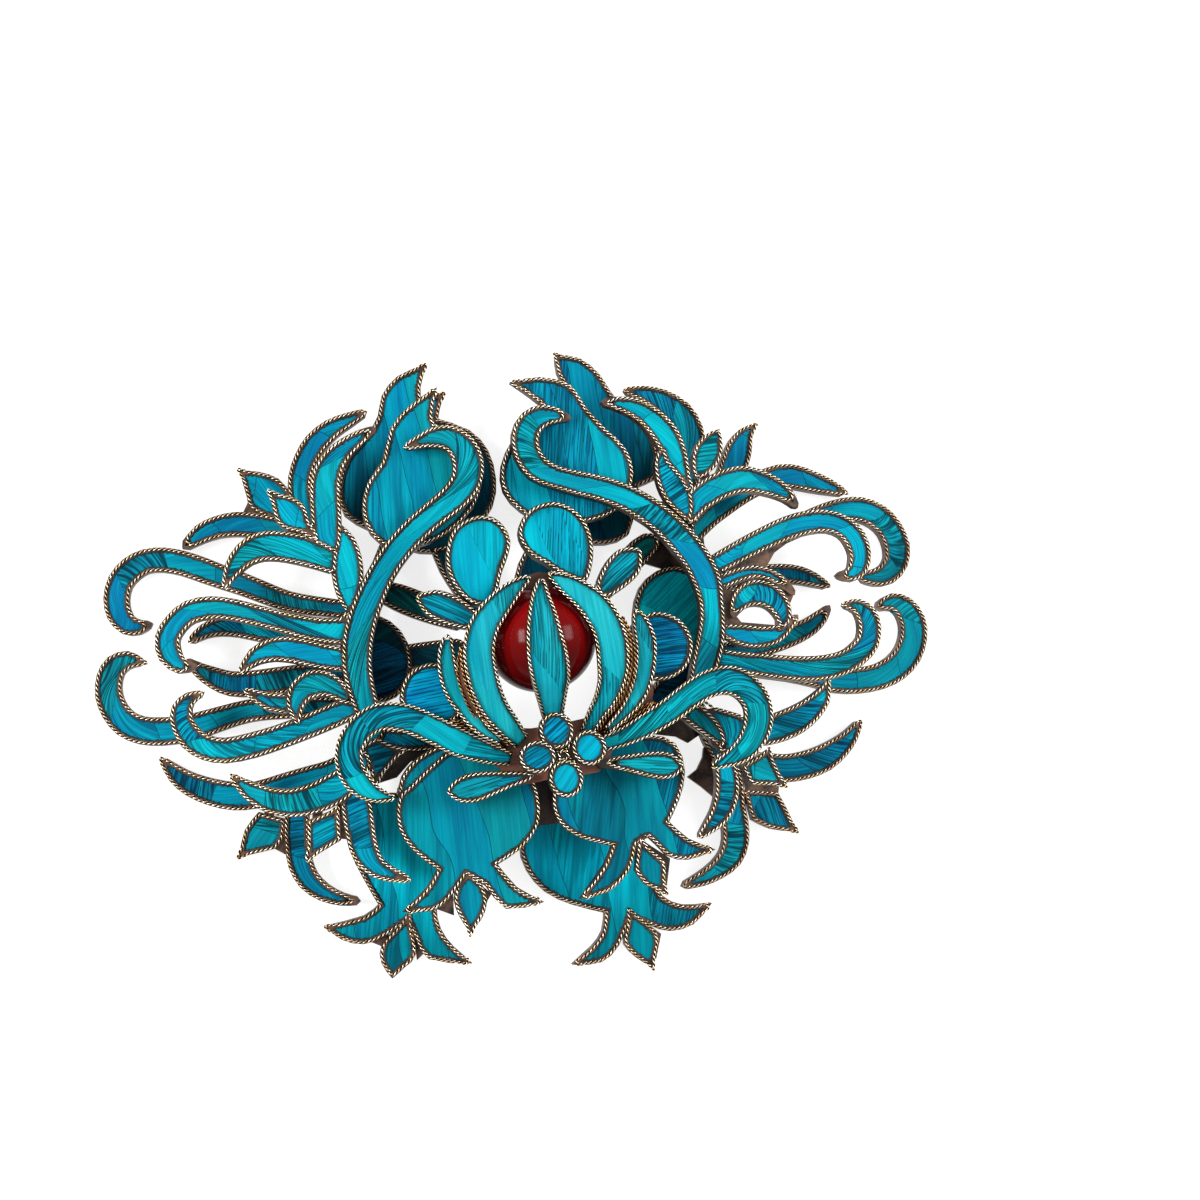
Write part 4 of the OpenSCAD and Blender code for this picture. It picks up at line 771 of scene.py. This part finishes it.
def colour(red, green, blue):
    """A shader colour from the 0 to 255 values seen on a screen."""
    linear = [((c / 255 + 0.055) / 1.055) ** 2.4 for c in (red, green, blue)]
    return (*linear, 1.0)


HATCH = 0.3  # distance between the close thin lines of a hatched patch
SPLIT_COLOUR = colour(0, 20, 30)
BLUE_CAST = colour(0, 108, 160)
GREEN_CAST = colour(14, 144, 142)


def feather_patches(tree, at, patch, skew):
    """The place along a leaf counted in patches, with wavy seams between them, and a node with a
    random value and colour for each patch."""
    split = tree.add("ShaderNodeSeparateXYZ", {0: at})
    wobble = tree.noise(tree.scaled(at, (0.22, 0.22, 0.22)), 0)
    step = tree.math("DIVIDE", split.outputs[0], patch)
    leaning = tree.math("MULTIPLY", split.outputs[1], skew / patch)
    step = tree.math("ADD", step, leaning)
    step = tree.math("ADD", step, tree.math("MULTIPLY", wobble, 0.35))
    number = tree.math("FLOOR", step)
    chance = tree.add("ShaderNodeTexWhiteNoise", {"W": number}, noise_dimensions="1D")
    return step, chance


def crossing(tree, value, inner, outer, strength):
    """Lines where a value crosses one half: `strength` within `inner` of it, fading to nothing
    at `outer`."""
    off = tree.math("ABSOLUTE", tree.math("SUBTRACT", value, 0.5))
    return tree.between(off, inner, outer, strength, 0.0)


def split_lines(tree, turned, lines, dark):
    """Long thin splits between the barbs, and weaker ones between them."""
    splits = tree.noise(tree.scaled(turned, (0.07, lines, 0.05), (11, 5, 2)), 1, 0.3)
    fine = tree.noise(tree.scaled(turned, (0.12, lines * 1.9, 0.05), (5, 9, 4)), 1, 0.3)
    return tree.math("MAXIMUM", crossing(tree, splits, 0.03, 0.085, dark),
                     crossing(tree, fine, 0.02, 0.08, dark * 0.6))


def hatch_lines(tree, turned, chance, hatched):
    """Close thin lines along the barbs, a little bent and broken, in the `hatched` share of the
    patches where `chance` is highest."""
    rows = tree.math("DIVIDE", tree.add("ShaderNodeSeparateXYZ", {0: turned}).outputs[1], HATCH)
    bent = tree.noise(tree.scaled(turned, (0.12, 0.5, 0.1), (2, 6, 9)), 0)
    rows = tree.math("ADD", rows, tree.math("MULTIPLY", bent, 3.0))
    line = crossing(tree, tree.math("FRACT", rows), 0.08, 0.26, 0.8)
    broken = tree.noise(tree.scaled(turned, (0.4, 2.2, 0.2), (7, 1, 3)), 1, 0.5)
    line = tree.math("MULTIPLY", line, tree.between(broken, 0.4, 0.52))
    return tree.math("MULTIPLY", line, tree.between(chance, 0.96 - hatched, 1.04 - hatched))


def feather(name, light, deep, turn=0, spread=30, patch=4.0, on_surface=True, lines=2.1,
            dark=0.85, skew=0.35, seams=0.9, hues=0.5, hatched=0.4, shade=None):
    """Feather barbs in patches `patch` mm long, each with a tint of its own and with its barbs
    turned by `turn` degrees from the leaf give or take `spread`. Splits as dark as `dark` lie
    where a stretched noise of `lines` waves a millimetre crosses its middle value. The `hatched`
    share of the patches has close thin lines. The seams between patches lean by `skew` and are as
    dark as `seams`. Some patches have up to `hues` of a blue or green cast. A `shade` of (low,
    high, least) dims the feather to `least` at Y = low, and not at all at Y = high. Coordinates
    are mm along and across the leaf, or from the middle of the brooch."""
    tree = Tree(name)
    source = tree.add("ShaderNodeTexCoord").outputs["UV" if on_surface else "Object"]
    at = source if on_surface else tree.scaled(source, (1 / MM, 1 / MM, 1 / MM))
    step, chance = feather_patches(tree, at, patch, skew)
    swing = tree.between(chance.outputs["Value"], 0, 1, math.radians(turn - spread),
                         math.radians(turn + spread))
    turned = tree.add("ShaderNodeVectorRotate", {"Vector": at, "Angle": swing},
                      rotation_type="Z_AXIS").outputs[0]
    barbs = tree.noise(tree.scaled(turned, (0.35, 7.0, 0.2)), 2, 0.6)
    bands = tree.noise(tree.scaled(turned, (0.1, 0.8, 0.1), (3, 7, 1)), 1, 0.5)
    parted = tree.add("ShaderNodeSeparateColor", {0: chance.outputs["Color"]})
    strong, tint, cast = parted.outputs
    dark_line = tree.math("MULTIPLY", split_lines(tree, turned, lines, dark),
                          tree.between(strong, 0.15, 0.75, 0.3, 1.0))
    dark_line = tree.math("MAXIMUM", dark_line, hatch_lines(tree, turned, strong, hatched))
    seam = tree.between(tree.math("FRACT", step), 0.02 / patch, 0.1 / patch, seams, 0.0)
    dark_line = tree.math("MAXIMUM", dark_line, seam)
    share = tree.math("ADD", tree.between(bands, 0.3, 0.7), tree.between(tint, 0, 1, -0.4, 0.4))
    share = tree.math("ADD", share, tree.between(barbs, 0.3, 0.7, -0.3, 0.3), clamp=True)
    body = tree.mix(share, deep, light)
    body = tree.mix(tree.between(cast, 0.65, 1, 0, hues), body, BLUE_CAST)
    body = tree.mix(tree.between(cast, 0.5, 0, 0, hues), body, GREEN_CAST)
    if shade:
        low, high, least = shade
        place = tree.add("ShaderNodeTexCoord").outputs["Object"]
        height = tree.add("ShaderNodeSeparateXYZ", {0: place}).outputs[1]
        dimmed = tree.between(height, low * MM, high * MM, least, 1.0)
        body = tree.mix(1.0, body, dimmed, "MULTIPLY")
    body = tree.mix(dark_line, body, SPLIT_COLOUR)
    tree.put(tree.shader.inputs["Base Color"], body)
    tree.put(tree.shader.inputs["Roughness"], tree.between(barbs, 0.3, 0.7, 0.4, 0.58))
    tree.shader.inputs["Specular IOR Level"].default_value = 0.02
    height = tree.math("SUBTRACT", barbs, tree.math("MULTIPLY", dark_line, 0.7))
    bump = tree.add("ShaderNodeBump", {"Height": height, "Strength": 0.4, "Distance": 8e-5})
    tree.put(tree.shader.inputs["Normal"], bump.outputs[0])
    return tree.material


def metal(name, base, dark, rough, metallic=1.0, worn=None):
    """Gilt metal. A twisted wire has places of a second, `worn` colour, and darkens towards its
    middle line, which is painted shade in the crevices between the strands. Other metal is
    mottled with the dark colour, most of all away from the brooch's middle, and is painted
    darker towards that middle, as painted shade under the upper tiers and the flower."""
    tree = Tree(name)
    source = tree.add("ShaderNodeTexCoord").outputs["Object"]
    if worn:
        # Painted shade: the wire is darker where its strands dip in towards its middle line.
        depth = tree.add("ShaderNodeAttribute", attribute_name="groove").outputs["Fac"]
        share = tree.between(depth, 0.68, 0.9)
        wear = tree.noise(tree.scaled(source, (1300, 1300, 1300)), 1, 0.5)
        base = tree.mix(tree.between(wear, 0.44, 0.62), base, worn)
    else:
        # Mottled tone, with painted shade that darkens the metal within 24 mm of the brooch's
        # middle.
        mottle = tree.noise(tree.scaled(source, (900, 900, 900)), 3, 0.6)
        flat = tree.scaled(source, (1 / MM, 1 / MM, 0))
        away = tree.add("ShaderNodeVectorMath", {0: flat}, operation="LENGTH").outputs["Value"]
        share = tree.math("MULTIPLY", tree.between(mottle, 0.35, 0.65),
                          tree.between(away, 14, 24, 0.2, 1.0))
    tree.put(tree.shader.inputs["Base Color"], tree.mix(share, dark, base))
    tree.put(tree.shader.inputs["Metallic"], metallic)
    tree.put(tree.shader.inputs["Roughness"], rough)
    return tree.material


def stone(name):
    """Dark red polished stone, with painted light and shade: lighter towards the top, where the
    buds are, and darker towards the bottom.
    """
    tree = Tree(name)
    source = tree.add("ShaderNodeTexCoord").outputs["Object"]
    cloud = tree.noise(tree.scaled(source, (260, 260, 260)), 2, 0.5)
    # Painted light and shade: the stone grows lighter from Y = -2 mm up to Y = 4.5 mm.
    height = tree.add("ShaderNodeSeparateXYZ", {0: source}).outputs[1]
    share = tree.math("ADD", tree.between(height, -2 * MM, 4.5 * MM, 0.0, 0.9),
                      tree.between(cloud, 0.35, 0.65, 0.0, 0.2), clamp=True)
    base = tree.mix(share, colour(54, 0, 1), colour(128, 9, 10))
    tree.put(tree.shader.inputs["Base Color"], base)
    tree.shader.inputs["Roughness"].default_value = 0.14
    tree.shader.inputs["Specular IOR Level"].default_value = 0.06
    return tree.material


twisted_gilt = metal("twisted gilt", colour(255, 240, 218), colour(22, 13, 8), 0.3,
                     worn=colour(228, 204, 156))
# Painted shade: a darker copy of the twisted gilt for the wires of the lower tier, in the upper
# tier's shade.
shaded_twisted_gilt = metal("shaded twisted gilt", colour(236, 212, 182), colour(20, 12, 8), 0.32,
                         worn=colour(202, 168, 128))
twisted_copper = metal("twisted copper", colour(208, 166, 112), colour(30, 16, 9), 0.34,
                       worn=colour(168, 112, 66))
sheet_metal = metal("old gilt sheet", colour(100, 74, 58), colour(22, 18, 17), 0.45, 0.5)
copper = metal("coppery gilt", colour(118, 78, 58), colour(46, 28, 22), 0.42, 0.6)
strip_metal = metal("brown strips", colour(150, 104, 70), colour(84, 52, 36), 0.45, 0.5)
cup_metal = metal("brown cup", colour(176, 116, 92), colour(110, 66, 50), 0.5, 0.3)
upper_feather = feather("turquoise feather", colour(0, 160, 176), colour(0, 122, 150),
                        turn=25, spread=50, patch=5, hues=0.4)
lower_feather = feather("teal feather", colour(0, 148, 168), colour(0, 104, 138),
                        turn=25, spread=50, patch=5, hues=0.4)
shaded_feather = feather("shaded feather", colour(0, 66, 74), colour(0, 36, 46),
                         turn=20, spread=30, patch=5)
# Painted light: the round leaf of the lower tier is brighter than the teal feather, against the
# shade of the arm over it; its barbs also run straighter and its splits are fainter.
lit_round_feather = feather("lit round leaf feather", colour(0, 206, 212), colour(0, 166, 184),
                        turn=5, spread=12, patch=6, seams=0.4, dark=0.5, lines=1.4)
petal_feather = feather("petal feather", colour(30, 160, 170), colour(12, 142, 158),
                        turn=-88, spread=9, patch=5.5, on_surface=False, lines=2.6, dark=0.7,
                        skew=0.6, seams=0.15, hues=0.15, hatched=0.7)
curl_feather = feather("curled petal feather", colour(6, 158, 170), colour(0, 136, 154),
                       turn=6, spread=20, patch=5, seams=0.5, hues=0.3, hatched=0.75)
leaf_feather = feather("small leaf feather", colour(0, 150, 174), colour(0, 118, 150),
                       turn=0, spread=6, patch=40, hatched=0.8)
drop_feather = feather("large leaf feather", colour(0, 160, 178), colour(0, 136, 156),
                       turn=-84, spread=5, patch=3, on_surface=False, lines=2.6, dark=0.45,
                       skew=0.4, seams=0.3, hues=0.2, hatched=0.3)
striped_feather = feather("striped feather", colour(0, 156, 196), colour(0, 114, 164),
                          turn=35, spread=4, patch=40, lines=2.8, dark=1.0, hatched=1.0)
BUD = {"turn": -84, "spread": 6, "patch": 2.6, "on_surface": False, "lines": 1.6, "dark": 0.6,
       "skew": 0.1, "hues": 0.35}
bud_feather = feather("bud feather", colour(0, 142, 160), colour(0, 104, 130), **BUD)
fruit_feather = feather("pomegranate feather", colour(0, 124, 138), colour(0, 94, 114),
                        turn=-80, spread=12, patch=4.2, on_surface=False, lines=1.6, dark=0.6,
                        skew=0.2, hues=0.3)
# Painted shade: the lower buds are dimmed below Y = 25 mm, to 0.22 at Y = 15 mm, where the upper
# buds shade them.
shaded_lower_bud_feather = feather("shaded lower bud feather", colour(0, 140, 164), colour(0, 102, 136),
                            shade=(15, 25, 0.22), **BUD)
# Painted light: the lower pomegranates are much brighter than the upper ones, against the upper
# tier's shade on them; below Y = -19 mm they are dimmed towards their lower tips.
lit_lower_fruit_feather = feather("lit lower pomegranate feather", colour(0, 192, 212),
                              colour(0, 150, 176), turn=-80, spread=8, patch=4,
                              on_surface=False, lines=1.5, dark=0.6, skew=0.1, hues=0.3,
                              shade=(-25, -19, 0.36))
# Dark edges of the feathers: partly their glue, partly painted shade beside the wires.
feather_edge_and_shade = metal("feather edge and painted shade", colour(4, 22, 30), colour(14, 16, 18), 0.6, 0.0)
under_feather = metal("feather under the skins", colour(0, 40, 52), colour(2, 28, 36), 0.6, 0.0)
red_stone = stone("dark red stone")


# Dressing

# Wires round the cells of each tier: finish, slot, slots of the feather in its leaves, buds and
# pomegranates
TIERS = [
    # The lower tier's wires have painted shade: a darker copy of the gilt.
    ("lower", shaded_twisted_gilt, "old_gilt", "teal_feather", "azure_feather", "teal_feather"),
    ("upper", twisted_gilt, "gilt", "turquoise_feather", "turquoise_feather",
     "turquoise_feather"),
]


def wired(inlay, sheets, finish, slot, feather_slot):
    """Wires round the cells of an inlay node, which the sheets hold, and the feather's edges."""
    rim_wires(inlay.replace("feathers", "wires"), inlay, sheets, finish, slot)
    dark_edges(inlay.replace("feathers", "edges"), inlay, feather_edge_and_shade, feather_slot)


for tier, finish, slot, leaf, bud, fruit in TIERS:
    for side in ("left", "right"):
        sheets = [f"{tier}_{side}_spray", f"{tier}_{side}_foot"]
        wired(f"{tier}_{side}_feathers", sheets, finish, slot, leaf)
    for kind, feather_slot in (("bud", bud), ("pomegranate", fruit)):
        sheets = [f"{tier}_left_{kind}", f"{tier}_right_{kind}"]
        wired(f"{tier}_{kind}_feathers", sheets, finish, slot, feather_slot)
wired("flower_feathers", ["club_leaf_left", "club_leaf_right"], twisted_gilt, "gilt",
      "turquoise_feather")

# Leaves with finishes of their own: their middles in the tables' coordinates, and how near one
# of those a cell's middle has to be
DISCS = [(-8.6, -2.8), (12.5, -0.4)], 2  # round leaves beside the flower
HIDDEN = [(-8.3, 6.3), (-8, 1.5), (-12.7, 1.7), (11.8, 8.2), (15.5, -4)], 1.5  # under the arms
ROUND = [(15.8, 3.2)], 1.2  # round leaf of the lower tier


def is_near(middle, places, reach):
    """Whether the middle of a cell lies within reach of one of the places."""
    away = np.array(places) + CENTRE_SHIFT[:2] - middle[:2]
    return np.linalg.norm(away, axis=1).min() < reach


def is_large(middle):
    """Whether a cell is one of the two large leaves above the flower."""
    return middle[1] > 6.5 and abs(middle[0]) < 5


for tier, finish, slot in (("lower", lower_feather, "teal_feather"),
                           ("upper", upper_feather, "turquoise_feather")):
    for side in ("left", "right"):
        leaf_skins(f"{tier}_{side}_skins", [f"{tier}_{side}_feathers"], finish, slot,
                   lambda middle: not is_near(middle, *HIDDEN) and not is_near(middle, *ROUND))
leaf_skins("round_leaf_skin", ["lower_right_feathers"], lit_round_feather, "teal_feather",
           lambda middle: is_near(middle, *ROUND))
leaf_skins("hidden_leaf_skins", ["lower_left_feathers", "lower_right_feathers"], shaded_feather,
           "teal_feather", lambda middle: is_near(middle, *HIDDEN))
leaf_skins("disc_skins", ["flower_feathers"], striped_feather, "turquoise_feather",
           lambda middle: is_near(middle, *DISCS))
leaf_skins("large_leaf_skins", ["flower_feathers"], drop_feather, "turquoise_feather", is_large)
leaf_skins("flower_leaf_skins", ["flower_feathers"], leaf_feather, "turquoise_feather",
           lambda middle: not is_near(middle, *DISCS) and not is_large(middle))

straight = ["wide_petal_left", "wide_petal_right", "narrow_petal_left", "narrow_petal_right",
            "centre_petal"]
petal_skins("petal_skins", straight, petal_feather)
petal_skins("curled_petal_skins", ["recurved_petal_left", "recurved_petal_right"], curl_feather)
petal_dark_edges("petal_edges", feather_edge_and_shade)
petal_wires("petal_wires", twisted_gilt)
side_strips("side_strips", strip_metal)
side_wires("side_wires", twisted_copper)
blossom_knot("blossom_knot", twisted_gilt)
bead_skin("stone_bead", red_stone)

FINISH = {
    "lower_bud_feathers": shaded_lower_bud_feather,
    "lower_pomegranate_feathers": lit_lower_fruit_feather,
    "upper_bud_feathers": bud_feather,
    "upper_pomegranate_feathers": fruit_feather,
    "lower_left_feathers": under_feather,
    "lower_right_feathers": under_feather,
    "upper_left_feathers": under_feather,
    "upper_right_feathers": under_feather,
    "flower_feathers": under_feather,
    "flower_cup": cup_metal,
    "petal_collar": copper,
    "bead_wire": copper,
}
for node, piece in nodes.items():
    piece.data.materials.clear()
    piece.data.materials.append(FINISH.get(node, sheet_metal))


# Floor, light and camera

FLOOR_SIZE = 3.0  # m
FLOOR_GLOW = 0.78  # light of its own, which keeps it pale between the leaves


def floor():
    """A flat pale floor at z = 0."""
    half = FLOOR_SIZE / 2
    points = np.array([[-half, -half, 0], [half, -half, 0], [half, half, 0], [-half, half, 0]])
    mesh = bpy.data.meshes.new("floor")
    mesh.from_pydata(points.tolist(), [], [(0, 1, 2, 3)])
    tree = Tree("pale floor")
    tree.put(tree.shader.inputs["Base Color"], (0.4, 0.4, 0.4, 1))
    tree.put(tree.shader.inputs["Roughness"], 0.9)
    tree.put(tree.shader.inputs["Emission Color"], (1, 1, 1, 1))
    tree.put(tree.shader.inputs["Emission Strength"], FLOOR_GLOW)
    mesh.materials.append(tree.material)
    piece = bpy.data.objects.new("floor", mesh)
    bpy.context.scene.collection.objects.link(piece)


def place_facing(piece, right, up, back, place):
    """Puts a lamp or camera at a place in metres, looking along -back."""
    turn = np.eye(4)
    turn[:3] = np.stack([right, up, back, place], axis=1)
    piece.matrix_world = Matrix(turn.tolist())


def area_light(name, place, size, power):
    """A rectangular soft light that looks at the middle of the brooch."""
    data = bpy.data.lights.new(name, "AREA")
    data.shape = "RECTANGLE"
    data.size, data.size_y = size
    data.energy = power
    piece = bpy.data.objects.new(name, data)
    bpy.context.scene.collection.objects.link(piece)
    place = np.array(place, float)
    back = unit(place)
    right = unit(np.cross([0.0, 1.0, 0.01], back))
    place_facing(piece, right, np.cross(back, right), back, place)


def world(strength):
    """Even white light from all round."""
    scene_world = bpy.data.worlds.new("studio")
    scene_world.use_nodes = True
    back = scene_world.node_tree.nodes["Background"]
    back.inputs["Color"].default_value = (1, 1, 1, 1)
    back.inputs["Strength"].default_value = strength
    bpy.context.scene.world = scene_world


SENSOR = 36  # width of the camera's sensor, mm
FOCAL_SHARE = 2354 / 1200  # focal length as a share of the sensor's width
CAMERA_PLACE = np.array([-29.0731, -17.1742, 221.6154]) + CENTRE_SHIFT
CAMERA_BACK = np.array([-0.17, -0.10, 0.98])  # from what it looks at towards the camera
CAMERA_ROLL = math.radians(6.5)  # turn about its own axis
CLIP_START = 0.011  # nearest that it sees, m


def camera():
    """The camera of the photograph: above the brooch, a little to the left and towards the
    pomegranates, and turned a little about its own axis."""
    ahead = -CAMERA_BACK / np.linalg.norm(CAMERA_BACK)
    north = np.array([0.0, 1.0, 0.0])
    up0 = unit(north - (north @ ahead) * ahead)
    right0 = np.cross(ahead, up0)
    right = right0 * math.cos(CAMERA_ROLL) - up0 * math.sin(CAMERA_ROLL)
    up = right0 * math.sin(CAMERA_ROLL) + up0 * math.cos(CAMERA_ROLL)
    data = bpy.data.cameras.new("camera")
    data.sensor_width = SENSOR
    data.lens = FOCAL_SHARE * SENSOR
    data.clip_start = CLIP_START
    piece = bpy.data.objects.new("camera", data)
    bpy.context.scene.collection.objects.link(piece)
    place_facing(piece, right, up, -ahead, CAMERA_PLACE * MM)
    bpy.context.scene.camera = piece


floor()
world(0.8)
area_light("window", (-0.56, 0.1, 0.54), (0.16, 0.36), 6)
area_light("fill", (0.5, 0.05, 0.4), (0.2, 0.3), 3)
camera()
bpy.context.scene.view_settings.view_transform = "Standard"
